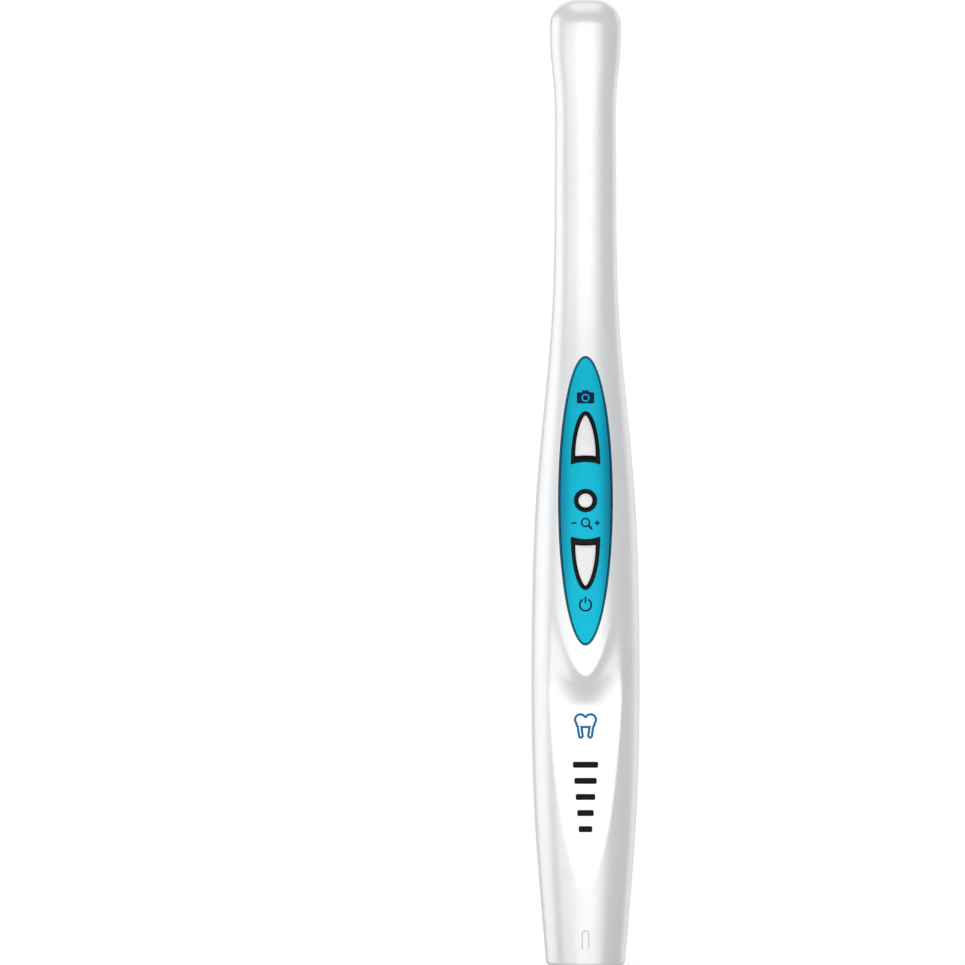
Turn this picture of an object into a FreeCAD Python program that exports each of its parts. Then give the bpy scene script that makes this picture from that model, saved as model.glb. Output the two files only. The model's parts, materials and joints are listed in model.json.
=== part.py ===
"""Intraoral camera: a slim dental wand with a lens and six lamps on one side of its tip and three
keys on the other side of its handle.

Frame: +Z runs up the wand from its flat base to its tip. The lens looks along +Y and the key panel
faces -Y. The origin is the centre of the cable socket's mouth, in the plane of the base.
Units are millimetres."""

import FreeCAD
import Part

import math
import os

import Sketcher

VECTOR = FreeCAD.Vector
doc = FreeCAD.newDocument("intraoral_camera")
dim = doc.addObject("Spreadsheet::Sheet", "dim")

# The casing's cross-section is an ellipse at each height: height, half width,
# depth on the lens side, depth on the key side, wall thickness.
STATIONS = (
    (0.0, 8.15, 7.5, 7.5, 1.6),
    (12.0, 9.15, 8.3, 8.3, 1.6),
    (30.0, 10.5, 9.3, 9.4, 1.6),
    (48.0, 11.13, 9.75, 10.1, 1.6),
    (64.0, 11.2, 9.8, 10.4, 1.6),
    (80.0, 10.97, 9.6, 10.5, 1.6),
    (96.0, 10.3, 8.9, 10.0, 1.6),
    (115.0, 8.65, 7.4, 8.5, 1.6),
    (133.0, 7.05, 6.0, 6.5, 1.4),
    (152.0, 6.42, 5.35, 5.6, 1.2),
    (170.0, 6.32, 5.2, 5.3, 1.2),
    (182.0, 6.55, 5.3, 5.5, 1.2),
    (189.0, 7.22, 5.6, 5.9, 1.2),
    (194.4, 7.35, 5.7, 6.1, 1.2),
)
DOME_RINGS = 5
DOME_LAST_ANGLE = 80.0

SIZES = {
    # Casing
    "dome_r": 5.6,
    "base_edge_r": 1.1,
    "overlap": 1.0,
    # Lens head: the lens axis is parallel to Y at this height
    "lens_z": 190.0,
    "boss_r": 7.05,
    "boss_face": 7.0,
    "boss_blend": 1.3,
    "boss_edge": 0.3,
    "head_bore_r": 6.15,
    "seat_r": 6.62,
    "seat_floor": 5.8,
    # Cover window and its seal
    "window_r": 6.58,
    "window_back": 6.12,
    "window_bevel_r": 5.85,
    "window_bevel_face": 7.55,
    "window_crown_r": 4.6,
    "window_face": 7.75,
    "seal_in": 6.17,
    "seal_out": 6.56,
    # Lamp ring
    "lamp_ring_in": 2.95,
    "lamp_ring_out": 5.9,
    "lamp_ring_face": 4.9,
    "lamp_pitch_r": 4.6,
    "lamp_long": 3.0,
    "lamp_short": 1.85,
    "lamp_high": 0.6,
    "phosphor_long": 2.3,
    "phosphor_short": 1.4,
    "phosphor_high": 0.12,
    "lamp_lead_x": 1.0,
    "lamp_lead_drop": 4.7,
    "lamp_lead_r": 0.25,
    "lamp_lead_hole_r": 0.4,
    # Camera module
    "bracket_r": 6.1,
    "bracket_tube_in": 5.2,
    "bracket_hole_r": 2.9,
    "bracket_back": 1.6,
    "bracket_web": 2.3,
    "bracket_face": 4.2,
    "holder_half": 4.0,
    "holder_back": -2.4,
    "holder_face": 1.6,
    "holder_bore_r": 2.8,
    "holder_room_half": 3.0,
    "holder_room_face": -1.0,
    "barrel_r": 2.75,
    "barrel_back": -0.9,
    "barrel_face": 5.4,
    "barrel_mouth_r": 2.35,
    "barrel_mouth_floor": 4.7,
    "barrel_bore_r": 1.45,
    "barrel_stop_r": 0.8,
    "barrel_stop_face": 3.1,
    "barrel_stop_back": 2.3,
    "lens_r": 1.43,
    "front_lens_back": 3.1,
    "front_lens_rim": 3.75,
    "front_lens_shoulder": 4.05,
    "front_lens_crown": 4.25,
    "rear_lens_face": 2.3,
    "rear_lens_rim": 1.5,
    "rear_lens_crown": 0.9,
    "filter_half": 2.0,
    "filter_face": -1.2,
    "sensor_half": 2.4,
    "sensor_face": -1.7,
    "sensor_board_half": 4.0,
    "sensor_board_low": 184.2,
    "sensor_board_top": 194.2,
    "sensor_board_back": -3.0,
    # Key panel
    "panel_z": 96.3,
    "panel_half_length": 29.7,
    "panel_half_width": 5.6,
    "panel_sink": 0.1,
    "panel_floor": 0.9,
    "panel_back": 0.88,
    "panel_gap": 0.08,
    "panel_hole_gap": 0.03,
    # Raised island under the panel and the flat scooped below it
    "island_z": 87.0,
    "island_half_length": 28.4,
    "island_half_width": 7.8,
    "island_mid": 8.9,
    "island_flare": 0.8,
    "island_out": 13.0,
    "island_in": 4.5,
    "scoop_low": 16.0,
    "scoop_low_face": 8.78,
    "scoop_top": 90.0,
    "scoop_top_face": 6.8,
    # Keys: base corners and tips are measured from the panel's middle
    "key_gap": 0.12,
    "key_proud": 0.45,
    "key_flange_top": 1.85,
    "key_flange_wide": 0.5,
    "capture_foot": 5.6,
    "zoom_foot": 7.3,
    "power_foot": 7.7,
    "bezel_proud": 0.22,
    "arch_half": 2.11,
    "arch_base": 9.1,
    "arch_high": 8.3,
    "arch_bite": 0.12,
    "arch_foot_grow": 1.88,
    "arch_bite_grow": 0.47,
    "arch_rim": 0.93,
    "zoom_key_r": 1.45,
    "zoom_rim": 0.95,
    "stem_r": 1.1,
    "snap_z": 112.8,
    "snap_key_r": 2.85,
    "snap_gap": 0.15,
    "snap_proud": 0.12,
    "snap_flange_top": 2.05,
    "snap_foot": 4.5,
    # Switches stand on both faces of the board; heights are above the board's face
    "switch_half": 3.0,
    "switch_high": 2.7,
    "switch_bore_r": 1.76,
    "switch_floor": 0.4,
    "plunger_r": 1.7,
    "plunger_foot": 1.05,
    "plunger_top": 3.2,
    "arch_switch": 11.6,
    # Main board
    "board_face": -0.5,
    "board_back": -1.5,
    "board_low": 18.0,
    "board_step": 72.0,
    "board_top": 122.0,
    "board_half_wide": 6.6,
    "board_half_slim": 4.6,
    "board_hole_r": 1.2,
    # Base
    "cap_thick": 2.4,
    "cap_gap": 0.04,
    "cap_rib_low": 1.0,
    "cap_rib_top": 1.8,
    "cap_rib_wide": 0.7,
    "cap_hole_gap": 0.03,
    "socket_bore_r": 4.0,
    "socket_seat_r": 3.7,
    "socket_out_r": 4.5,
    "socket_flange_r": 4.95,
    "socket_flange_thick": 0.6,
    "socket_shoulder": 5.0,
    "socket_tail": 11.0,
    "socket_key_half": 0.5,
    "socket_key_r": 4.25,
    "insulator_r": 3.67,
    "insulator_tail": 10.6,
    "pin_pitch_r": 2.4,
    "pin_hole_r": 0.5,
    "pin_out_r": 0.47,
    "pin_in_r": 0.28,
    "pin_face": 5.3,
    "pin_socket_end": 10.0,
    "pin_tail": 13.0,
    "nut_thick": 1.8,
    "nut_r": 5.7,
    "nut_flat_half": 5.1,
    "nut_gap": 0.02,
    "lead_r": 0.3,
    "header_low": 17.0,
    "header_top": 20.5,
    "header_half_x": 4.0,
    "header_half_y": 3.3,
    "header_slot_gap": 0.03,
    # Index mark on the key side, near the base
    "mark_half": 0.62,
    "mark_low": 2.5,
    "mark_top": 7.8,
    "mark_face": 7.72,
    # Name plate and the case screws under it
    "plate_z": 44.5,
    "plate_half_length": 22.8,
    "plate_half_width": 4.2,
    "plate_sink": 0.14,
    "plate_floor": 0.55,
    "plate_back": 0.53,
    "plate_gap": 0.05,
    "screw_low_z": 33.0,
    "screw_top_z": 56.0,
    "screw_head_r": 1.8,
    "screw_head_top": 8.5,
    "screw_head_foot": 7.4,
    "screw_r": 1.0,
    "screw_tip": -6.0,
    "screw_pilot_r": 1.02,
    "screw_pilot_end": -6.3,
    "screw_hole_r": 1.2,
    "screw_sink_r": 1.95,
    "screw_slot_half": 0.22,
    "screw_slot_deep": 0.6,
    "lens_post_r": 2.8,
    "key_post_r": 2.2,
    # Chips, connector and ribbon
    "chip_half": 4.0,
    "chip_thick": 1.2,
    "chip_z": 44.5,
    "memory_half_x": 2.6,
    "memory_half_z": 2.0,
    "memory_thick": 0.9,
    "memory_z": 66.0,
    "usb_half": 2.5,
    "usb_z": 25.0,
    "part_half_x": 0.5,
    "part_half_z": 0.28,
    "part_high": 0.5,
    "part_first_z": 62.0,
    "part_pitch_z": 2.4,
    "part_x": 5.2,
    "connector_half": 3.4,
    "connector_low": 114.2,
    "connector_top": 118.0,
    "connector_high": 1.2,
    "ribbon_half": 2.5,
    "ribbon_thick": 0.2,
    "ribbon_head_z": 191.0,
    "ribbon_bend_top": 130.0,
    "ribbon_bend_low": 121.0,
    "ribbon_foot_y": -2.0,
}

ROWS = {"height": 0, "wide": 1, "lens": 2, "keys": 3, "wall": 4}


def fill_sheet():
    """Writes every driving dimension to the sheet as a plain number with an alias."""
    entries = dict(SIZES)
    for index, station in enumerate(STATIONS):
        for word, column in ROWS.items():
            entries[f"station_{index}_{word}"] = station[column]
    for row, (alias, number) in enumerate(entries.items(), start=1):
        dim.set(f"A{row}", alias)
        dim.set(f"B{row}", str(number))
        dim.setAlias(f"B{row}", alias)
    doc.recompute()


def expand(text):
    """Turns a formula of plain aliases into one that reads the sheet."""
    words, word = [], ""
    for letter in text + " ":
        if letter.isalnum() or letter in "_.":
            word += letter
        else:
            words.append("dim." + word if word[:1].isalpha() else word)
            words.append(letter)
            word = ""
    return "".join(words).strip()


def value(text):
    """The number that a formula of aliases comes to."""
    return float(dim.evalExpression(expand(text)))


def bind(thing, **formulas):
    """Binds properties to formulas; a double underscore stands for a dot."""
    for path, text in formulas.items():
        thing.setExpression(path.replace("__", "."), expand(text))
    return thing


def place(thing, x="0", y="0", z="0"):
    return bind(thing, Placement__Base__x=x, Placement__Base__y=y, Placement__Base__z=z)


# Part primitives and booleans


def box(name, x, y, z):
    """A box between two formulas on each axis."""
    block = doc.addObject("Part::Box", name)
    bind(block, Length=f"({x[1]}) - ({x[0]})", Width=f"({y[1]}) - ({y[0]})", Height=f"({z[1]}) - ({z[0]})")
    return place(block, x[0], y[0], z[0])


def rod(name, radius, start, end, x="0", y="0"):
    """A cylinder along +Z."""
    solid = doc.addObject("Part::Cylinder", name)
    bind(solid, Radius=radius, Height=f"({end}) - ({start})")
    return place(solid, x, y, start)


def cross_rod(name, radius, start, end, x="0", z="lens_z"):
    """A cylinder along +Y."""
    solid = doc.addObject("Part::Cylinder", name)
    solid.Placement.Rotation = FreeCAD.Rotation(VECTOR(1, 0, 0), -90)
    bind(solid, Radius=radius, Height=f"({end}) - ({start})")
    return place(solid, x, start, z)


def fuse(name, *shapes):
    joined = doc.addObject("Part::MultiFuse", name)
    joined.Shapes = list(shapes)
    joined.Refine = False
    return joined


def common(name, base, tool):
    shared = doc.addObject("Part::Common", name)
    shared.Base = base
    shared.Tool = tool
    shared.Refine = False
    return shared


def cut(name, base, *tools):
    """Base less every tool."""
    for index, tool in enumerate(tools):
        last = index == len(tools) - 1
        less = doc.addObject("Part::Cut", name if last else f"{name}_step_{index}")
        less.Base = base
        less.Tool = tool
        less.Refine = False
        base = less
    return base


def group(name, *solids):
    """Separate solids that share one node."""
    compound = doc.addObject("Part::Compound", name)
    compound.Links = list(solids)
    return compound


def shifted(name, base, y):
    """A copy of a form moved along Y, which gives a surface parallel to the casing's."""
    copy = doc.addObject("Part::Compound", name)
    copy.Links = [base]
    return bind(copy, Placement__Base__y=y)


def soften(name, base, radius, chosen, kind="Part::Fillet"):
    """Rounds the edges of base that chosen picks by their bounding box."""
    doc.recompute()
    rounded = doc.addObject(kind, name)
    rounded.Base = base
    size = value(radius)
    rounded.Edges = [
        (index, size, size) for index, edge in enumerate(base.Shape.Edges, start=1) if chosen(edge.BoundBox)
    ]
    if not rounded.Edges:
        raise ValueError(f"{name}: no edge was chosen")
    return rounded


# Turns an ellipse from the XY plane into the XZ plane with its longer half along Z.
UPRIGHT = FreeCAD.Rotation(VECTOR(0, 0, -1), VECTOR(1, 0, 0), VECTOR(0, -1, 0), "XZY")


def ellipse_rod(name, half_x, half_z, start, end, z):
    """A prism along +Y over an ellipse in the XZ plane; the longer half is along Z."""
    outline = doc.addObject("Part::Ellipse", name + "_outline")
    outline.Placement.Rotation = UPRIGHT
    bind(outline, MajorRadius=half_z, MinorRadius=half_x)
    place(outline, "0", start, z)
    prism = doc.addObject("Part::Extrusion", name)
    prism.Base = outline
    prism.Dir = VECTOR(0, 1, 0)
    prism.DirMode = "Custom"
    prism.Solid = True
    return bind(prism, LengthFwd=f"({end}) - ({start})")


# PartDesign bodies


def corner_sketch(body, name, role, corners, offset=None):
    """A closed polygon on one of the body's origin planes, each corner bound to the sheet."""
    sketch = body.newObject("Sketcher::SketchObject", name)
    plane = next(item for item in body.Origin.OriginFeatures if item.Role == role)
    sketch.AttachmentSupport = [(plane, "")]
    sketch.MapMode = "FlatFace"
    if offset:
        bind(sketch, **offset)
    points = [VECTOR(value(across), value(up), 0) for across, up in corners]
    count = len(points)
    for index, point in enumerate(points):
        sketch.addGeometry(Part.LineSegment(point, points[(index + 1) % count]), False)
    for index in range(count):
        sketch.addConstraint(Sketcher.Constraint("Coincident", index, 2, (index + 1) % count, 1))
    for index, (corner, point) in enumerate(zip(corners, points)):
        for text, number, kind, axis in (
            (corner[0], point.x, "DistanceX", -2),
            (corner[1], point.y, "DistanceY", -1),
        ):
            if abs(number) < 1e-9:
                sketch.addConstraint(Sketcher.Constraint("PointOnObject", index, 1, axis))
            else:
                place_in_list = sketch.addConstraint(Sketcher.Constraint(kind, -1, 1, index, 1, number))
                sketch.setExpression(f"Constraints[{place_in_list}]", expand(text))
    return sketch


def turned(name, corners, about="lens"):
    """A body of revolution. Corners are (along the axis, radius); the axis is the lens's or the socket's."""
    body = doc.addObject("PartDesign::Body", name)
    if about == "lens":
        offset = {"AttachmentOffset__Base__y": "lens_z"}
        sketch = corner_sketch(body, name + "_profile", "YZ_Plane", corners, offset)
        axis = "H_Axis"
    else:
        flipped = [(radius, along) for along, radius in corners]
        sketch = corner_sketch(body, name + "_profile", "XZ_Plane", flipped)
        axis = "V_Axis"
    turn = body.newObject("PartDesign::Revolution", name + "_turn")
    turn.Profile = sketch
    turn.ReferenceAxis = (sketch, [axis])
    turn.Angle = 360
    body.Tip = turn
    return body


def plate(name, corners, back, face):
    """A flat plate parallel to the XZ plane between two Y values."""
    body = doc.addObject("PartDesign::Body", name)
    sketch = corner_sketch(
        body, name + "_outline", "XZ_Plane", corners, {"AttachmentOffset__Base__z": f"-({face})"}
    )
    pad = body.newObject("PartDesign::Pad", name + "_pad")
    pad.Profile = sketch
    bind(pad, Length=f"({face}) - ({back})")
    body.Tip = pad
    return body


# The casing's form


def form(name, inset):
    """A loft through the stations and the tip's dome. inset(i) is a formula for how far in station i lies."""
    sections = []
    last = len(STATIONS) - 1

    def ring(label, wide, lens, keys, height):
        section = doc.addObject("Part::Ellipse", f"{name}_{label}")
        bind(section, MajorRadius=wide, MinorRadius=f"(({lens}) + ({keys})) / 2")
        place(section, "0", f"(({lens}) - ({keys})) / 2", height)
        sections.append(section)

    for index in range(len(STATIONS)):
        station = f"station_{index}"
        less = inset(index)
        ring(
            f"ring_{index}",
            f"{station}_wide - {less}",
            f"{station}_lens - {less}",
            f"{station}_keys - {less}",
            f"{station}_height",
        )
    less = inset(last)
    for step in range(1, DOME_RINGS + 1):
        angle = math.radians(DOME_LAST_ANGLE * step / DOME_RINGS)
        reach = f"dome_r + (dome_r - {less}) * {math.cos(angle):.6f}"
        ring(
            f"dome_{step}",
            f"station_{last}_wide - {reach}",
            f"station_{last}_lens - {reach}",
            f"station_{last}_keys - {reach}",
            f"station_{last}_height + (dome_r - {less}) * {math.sin(angle):.6f}",
        )
    loft = doc.addObject("Part::Loft", name)
    loft.Sections = sections
    loft.Solid = True
    loft.Ruled = False
    return loft


def half_space(name, low, high):
    return box(name, ("-30", "30"), (low, high), ("-20", "230"))


def scoop_tool(name, depth):
    """What the flat scoop below the panel takes away: all that lies outside a leaning plane, but not the
    raised island. Depth moves the plane, and the island's edge, into the wall."""
    body = doc.addObject("PartDesign::Body", name + "_wedge")
    corners = [
        ("-island_out + overlap", "scoop_low"),
        (f"{depth} - scoop_low_face", "scoop_low"),
        (f"{depth} - scoop_top_face", "scoop_top"),
        ("-island_out + overlap", "scoop_top"),
    ]
    sketch = corner_sketch(body, name + "_side", "YZ_Plane", corners)
    pad = body.newObject("PartDesign::Pad", name + "_pad")
    pad.Profile = sketch
    pad.Midplane = True
    pad.Length = 40
    body.Tip = pad
    sections = []
    for word in ("island_out", "island_in"):
        flare = f"(island_mid - {word}) * island_flare - {depth} * 1.3"
        outline = doc.addObject("Part::Ellipse", f"{name}_{word}")
        outline.Placement.Rotation = UPRIGHT
        bind(outline, MajorRadius=f"island_half_length + {flare}", MinorRadius=f"island_half_width + {flare}")
        sections.append(place(outline, "0", f"-{word}", "island_z"))
    island = doc.addObject("Part::Loft", name + "_island")
    island.Sections = sections
    island.Solid = True
    island.Ruled = True
    return cut(name, body, island)


def near(number, target, room=0.05):
    return abs(number - target) < room


# Key outlines


def arch(name, up, grow, start, end):
    """A prism over an arch with a hollow base. up is 1 or -1, the way it points. grow widens it at its sides
    and its tip, and further at its base."""
    base = f"panel_z + ({up}) * (arch_base - arch_foot_grow * ({grow}))"
    half = f"arch_half + ({grow})"
    high = f"arch_high + (1 + arch_foot_grow) * ({grow})"
    bite = f"(arch_bite + arch_bite_grow * ({grow}))"
    bite_r = f"(({half}) * ({half}) + {bite} * {bite}) / (2 * {bite})"
    oval = ellipse_rod(name + "_oval", half, high, start, end, base)
    under = f"{base} - ({up}) * 20"
    span = (under, base) if up > 0 else (base, under)
    below = box(name + "_below", ("-20", "20"), (f"{start} - overlap", f"{end} + overlap"), span)
    bite_z = f"{base} - ({up}) * ({bite_r} - {bite})"
    hollow = cross_rod(name + "_bite", bite_r, f"{start} - overlap", f"{end} + overlap", z=bite_z)
    return cut(name, oval, below, hollow)


def ellipse_disc(name, half_x, half_y, low, high):
    """A prism along +Z over an ellipse in the XY plane; the longer half is along X."""
    outline = doc.addObject("Part::Ellipse", name + "_outline")
    bind(outline, MajorRadius=half_x, MinorRadius=half_y)
    place(outline, "0", "0", low)
    prism = doc.addObject("Part::Extrusion", name)
    prism.Base = outline
    prism.Dir = VECTOR(0, 0, 1)
    prism.DirMode = "Custom"
    prism.Solid = True
    return bind(prism, LengthFwd=f"({high}) - ({low})")


def orbit(name, base, angle, about="lens"):
    """A copy of a form turned about the lens's axis or about the socket's."""
    copy = doc.addObject("Part::Compound", name)
    copy.Links = [base]
    if about == "lens":
        turn = math.radians(angle)
        copy.Placement.Rotation = FreeCAD.Rotation(VECTOR(0, 1, 0), angle)
        aside = f"0 - lens_z * ({math.sin(turn):.9f})"
        return place(copy, aside, "0", f"lens_z * ({1 - math.cos(turn):.9f})")
    copy.Placement.Rotation = FreeCAD.Rotation(VECTOR(0, 0, 1), angle)
    return copy


def on_base(edge):
    """True for the curved edge round the casing's foot."""
    return edge.ZMax < 0.01 and edge.YMax - edge.YMin > 1


def at_boss_root(edge):
    """True for the curve where the lens boss leaves the casing."""
    above_joint = edge.YMin > 0.0001 and edge.YMax < SIZES["boss_face"] - 0.05
    on_head = edge.ZMin > 180 and edge.ZMax < 198
    return above_joint and on_head and edge.XMax - edge.XMin > 2


def at_boss_face(edge):
    return near(edge.YMin, SIZES["boss_face"]) and near(edge.YMax, SIZES["boss_face"])


fill_sheet()

# Casing: two half shells that meet in the plane y = 0

outer = form("outer", lambda index: "0")
inner = form("inner", lambda index: f"station_{index}_wall")


lens_half = common("lens_half", outer, half_space("lens_space", "0", "30"))
boss = cross_rod("boss", "boss_r", "0", "boss_face")
boss_joined = fuse("boss_joined", lens_half, boss)
boss_blended = soften("boss_blended", boss_joined, "boss_blend", at_boss_root)
boss_done = soften("boss_done", boss_blended, "boss_edge", at_boss_face)

groove = ellipse_disc(
    "cap_groove",
    "station_0_wide - station_0_wall + cap_rib_wide + cap_gap",
    "station_0_lens - station_0_wall + cap_rib_wide + cap_gap",
    "cap_rib_low - cap_gap",
    "cap_rib_top + cap_gap",
)
screw_heights = {"lower": "screw_low_z", "upper": "screw_top_z"}

lens_posts = [
    cross_rod(f"lens_post_{word}", "lens_post_r", "board_face", "12", z=height)
    for word, height in screw_heights.items()
]
key_posts = [
    cross_rod(f"key_post_{word}", "key_post_r", "-12", "board_back", z=height)
    for word, height in screw_heights.items()
]
lens_cavity = cut("lens_cavity", inner, *lens_posts)
key_cavity = cut("key_cavity", inner, scoop_tool("inner_scoop", "station_4_wall"), *key_posts)

plate_form = ellipse_rod("plate_form", "plate_half_width", "plate_half_length", "5", "12", "plate_z")
plate_recess = cut("plate_recess", plate_form, shifted("plate_floor_form", outer, "0 - plate_floor"))
screw_tools = []
for word, height in screw_heights.items():
    screw_tools.append(cross_rod(f"head_sink_{word}", "screw_sink_r", "screw_head_foot", "12", z=height))
    screw_tools.append(cross_rod(f"screw_way_{word}", "screw_hole_r", "board_face - overlap", "12", z=height))

lens_rounded = soften("lens_rounded", boss_done, "base_edge_r", on_base)
lens_shell = cut(
    "lens_side_shell",
    lens_rounded,
    lens_cavity,
    cross_rod("head_bore", "head_bore_r", "0", "seat_floor"),
    cross_rod("window_seat", "seat_r", "seat_floor", "boss_face + overlap"),
    cross_rod("snap_hole", "snap_key_r + snap_gap", "3", "12", z="snap_z"),
    plate_recess,
    *screw_tools,
    groove,
)

key_half = common("key_half", outer, half_space("key_space", "-30", "0"))
key_rounded = soften("key_rounded", key_half, "base_edge_r", on_base)
panel_form = ellipse_rod("panel_form", "panel_half_width", "panel_half_length", "-14", "-4", "panel_z")
floor_form = shifted("panel_floor_form", outer, "panel_floor")
panel_recess = cut("panel_recess", panel_form, floor_form)
mark = fuse(
    "mark",
    box("mark_bar", ("-mark_half", "mark_half"), ("-12", "-mark_face"), ("mark_low", "mark_top - mark_half")),
    cross_rod("mark_end", "mark_half", "-12", "-mark_face", z="mark_top - mark_half"),
)
key_span = ("-14", "-3")
key_shell = cut(
    "key_side_shell",
    key_rounded,
    scoop_tool("scoop", "0"),
    key_cavity,
    panel_recess,
    arch("capture_way", 1, "key_gap", *key_span),
    arch("power_way", -1, "key_gap", *key_span),
    cross_rod("zoom_way", "zoom_key_r + key_gap", *key_span, z="panel_z"),
    mark,
    *[
        cross_rod(f"pilot_{word}", "screw_pilot_r", "screw_pilot_end", "board_back + overlap", z=height)
        for word, height in screw_heights.items()
    ],
    groove,
)

# Base cap and cable socket

cap_disc = ellipse_disc(
    "cap_disc",
    "station_0_wide - station_0_wall - cap_gap",
    "station_0_lens - station_0_wall - cap_gap",
    "0",
    "cap_thick",
)
cap_rib = ellipse_disc(
    "cap_rib",
    "station_0_wide - station_0_wall + cap_rib_wide",
    "station_0_lens - station_0_wall + cap_rib_wide",
    "cap_rib_low",
    "cap_rib_top",
)
base_cap = cut(
    "base_cap",
    fuse("cap_blank", cap_disc, cap_rib),
    rod("cap_hole", "socket_out_r + cap_hole_gap", "-overlap", "cap_thick + overlap"),
    rod("cap_sink", "socket_flange_r + cap_hole_gap", "-overlap", "socket_flange_thick"),
)
cable_socket = cut(
    "cable_socket",
    turned(
        "socket_tube",
        [
            ("0", "socket_bore_r"),
            ("0", "socket_flange_r"),
            ("socket_flange_thick", "socket_flange_r"),
            ("socket_flange_thick", "socket_out_r"),
            ("socket_tail", "socket_out_r"),
            ("socket_tail", "socket_seat_r"),
            ("socket_shoulder", "socket_seat_r"),
            ("socket_shoulder", "socket_bore_r"),
        ],
        about="socket",
    ),
    box(
        "socket_key",
        ("-socket_key_half", "socket_key_half"),
        ("-socket_key_r", "-socket_bore_r + 0.5"),
        ("-overlap", "socket_shoulder"),
    ),
)
PIN_ANGLES = (90, 162, 234, 306, 18)


def by_pin(name, radius, start, end):
    """One rod for each of the socket's contacts."""
    first = rod(name + "_0", radius, start, end, x="pin_pitch_r")
    return [orbit(f"{name}_at_{angle}", first, angle, "socket") for angle in PIN_ANGLES]


insulator = cut(
    "socket_insulator",
    rod("insulator_disc", "insulator_r", "socket_shoulder", "insulator_tail"),
    *by_pin("pin_hole", "pin_hole_r", "socket_shoulder - overlap", "insulator_tail + overlap"),
)
contacts = cut(
    "socket_contacts",
    group("pins", *by_pin("pin", "pin_out_r", "pin_face", "pin_tail")),
    group("pin_bores", *by_pin("pin_bore", "pin_in_r", "pin_face - overlap", "pin_socket_end")),
)
leads = group("socket_leads", *by_pin("lead", "lead_r", "pin_tail", "header_low"))
nut = cut(
    "socket_nut",
    common(
        "nut_blank",
        rod("nut_disc", "nut_r", "cap_thick", "cap_thick + nut_thick"),
        box("nut_flats", ("-nut_flat_half", "nut_flat_half"), ("-10", "10"), ("0", "10")),
    ),
    rod("nut_bore", "socket_out_r + nut_gap", "0", "10"),
)
header = cut(
    "board_header",
    box(
        "header_block",
        ("-header_half_x", "header_half_x"),
        ("-header_half_y", "header_half_y"),
        ("header_low", "header_top"),
    ),
    box(
        "header_slot",
        ("-10", "10"),
        ("board_back - header_slot_gap", "board_face + header_slot_gap"),
        ("board_low", "header_top + overlap"),
    ),
)

# Main board and what stands on it

board_corners = [
    ("-board_half_wide", "board_low"),
    ("board_half_wide", "board_low"),
    ("board_half_wide", "board_step"),
    ("board_half_slim", "board_step"),
    ("board_half_slim", "board_top"),
    ("-board_half_slim", "board_top"),
    ("-board_half_slim", "board_step"),
    ("-board_half_wide", "board_step"),
]
board = cut(
    "main_board",
    plate("board_blank", board_corners, "board_back", "board_face"),
    *[
        cross_rod(f"board_hole_{word}", "board_hole_r", "-5", "5", z=height)
        for word, height in screw_heights.items()
    ],
)


def chip(name, half_x, half_z, thick, z, x="0"):
    """A square package on the key side of the main board."""
    return box(
        name,
        (f"{x} - {half_x}", f"{x} + {half_x}"),
        (f"board_back - {thick}", "board_back"),
        (f"{z} - {half_z}", f"{z} + {half_z}"),
    )


processor = chip("image_processor", "chip_half", "chip_half", "chip_thick", "chip_z")
memory = chip("memory_chip", "memory_half_x", "memory_half_z", "memory_thick", "memory_z")
usb_bridge = chip("usb_bridge", "usb_half", "usb_half", "memory_thick", "usb_z")
small_parts = [
    chip(
        f"small_part_{row}_{word}",
        "part_half_x",
        "part_half_z",
        "part_high",
        f"part_first_z + part_pitch_z * {row}",
        x,
    )
    for row in range(4)
    for word, x in (("left", "0 - part_x"), ("right", "part_x"))
]
board_parts = group("board_parts", *small_parts)
connector = chip(
    "ribbon_connector",
    "connector_half",
    "(connector_top - connector_low) / 2",
    "connector_high",
    "(connector_top + connector_low) / 2",
)


def switch(word, z, facing):
    """A push switch: a square housing with a round plunger. facing is -1 on the key side of the board and
    1 on its lens side. Returns the housing."""
    face = "board_back" if facing < 0 else "board_face"

    def span(low, high):
        start, end = f"{face} + ({facing}) * ({low})", f"{face} + ({facing}) * ({high})"
        return (start, end) if facing > 0 else (end, start)

    blank = box(
        f"{word}_housing",
        ("-switch_half", "switch_half"),
        span("0", "switch_high"),
        (f"{z} - switch_half", f"{z} + switch_half"),
    )
    well = cross_rod(f"{word}_well", "switch_bore_r", *span("switch_floor", "switch_high + overlap"), z=z)
    housing = cut(f"{word}_switch", blank, well)
    plunger = cross_rod(f"{word}_plunger", "plunger_r", *span("plunger_foot", "plunger_top"), z=z)
    return housing, plunger


KEY_HEIGHTS = {
    "capture": "panel_z + arch_switch",
    "zoom": "panel_z",
    "power": "panel_z - arch_switch",
}
switches = {word: switch(word, height, -1) for word, height in KEY_HEIGHTS.items()}
switches["snap"] = switch("snap", "snap_z", 1)

# Keys, their bezels and the panel

bezel_face = shifted("bezel_face_form", outer, "-bezel_proud")
key_face = shifted("key_face_form", outer, "-key_proud")
flange_face = shifted("flange_face_form", outer, "key_flange_top")
panel_back = shifted("panel_back_form", outer, "panel_back")
panel_face = shifted("panel_face_form", outer, "panel_sink")


def outline(word, name, grow, start, end):
    """A prism over a key's outline, grown all round by a formula."""
    if word == "zoom":
        return cross_rod(name, f"zoom_key_r + {grow}", start, end, z="panel_z")
    return arch(name, 1 if word == "capture" else -1, grow, start, end)


RIMS = {"capture": "arch_rim", "zoom": "zoom_rim", "power": "arch_rim"}


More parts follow.
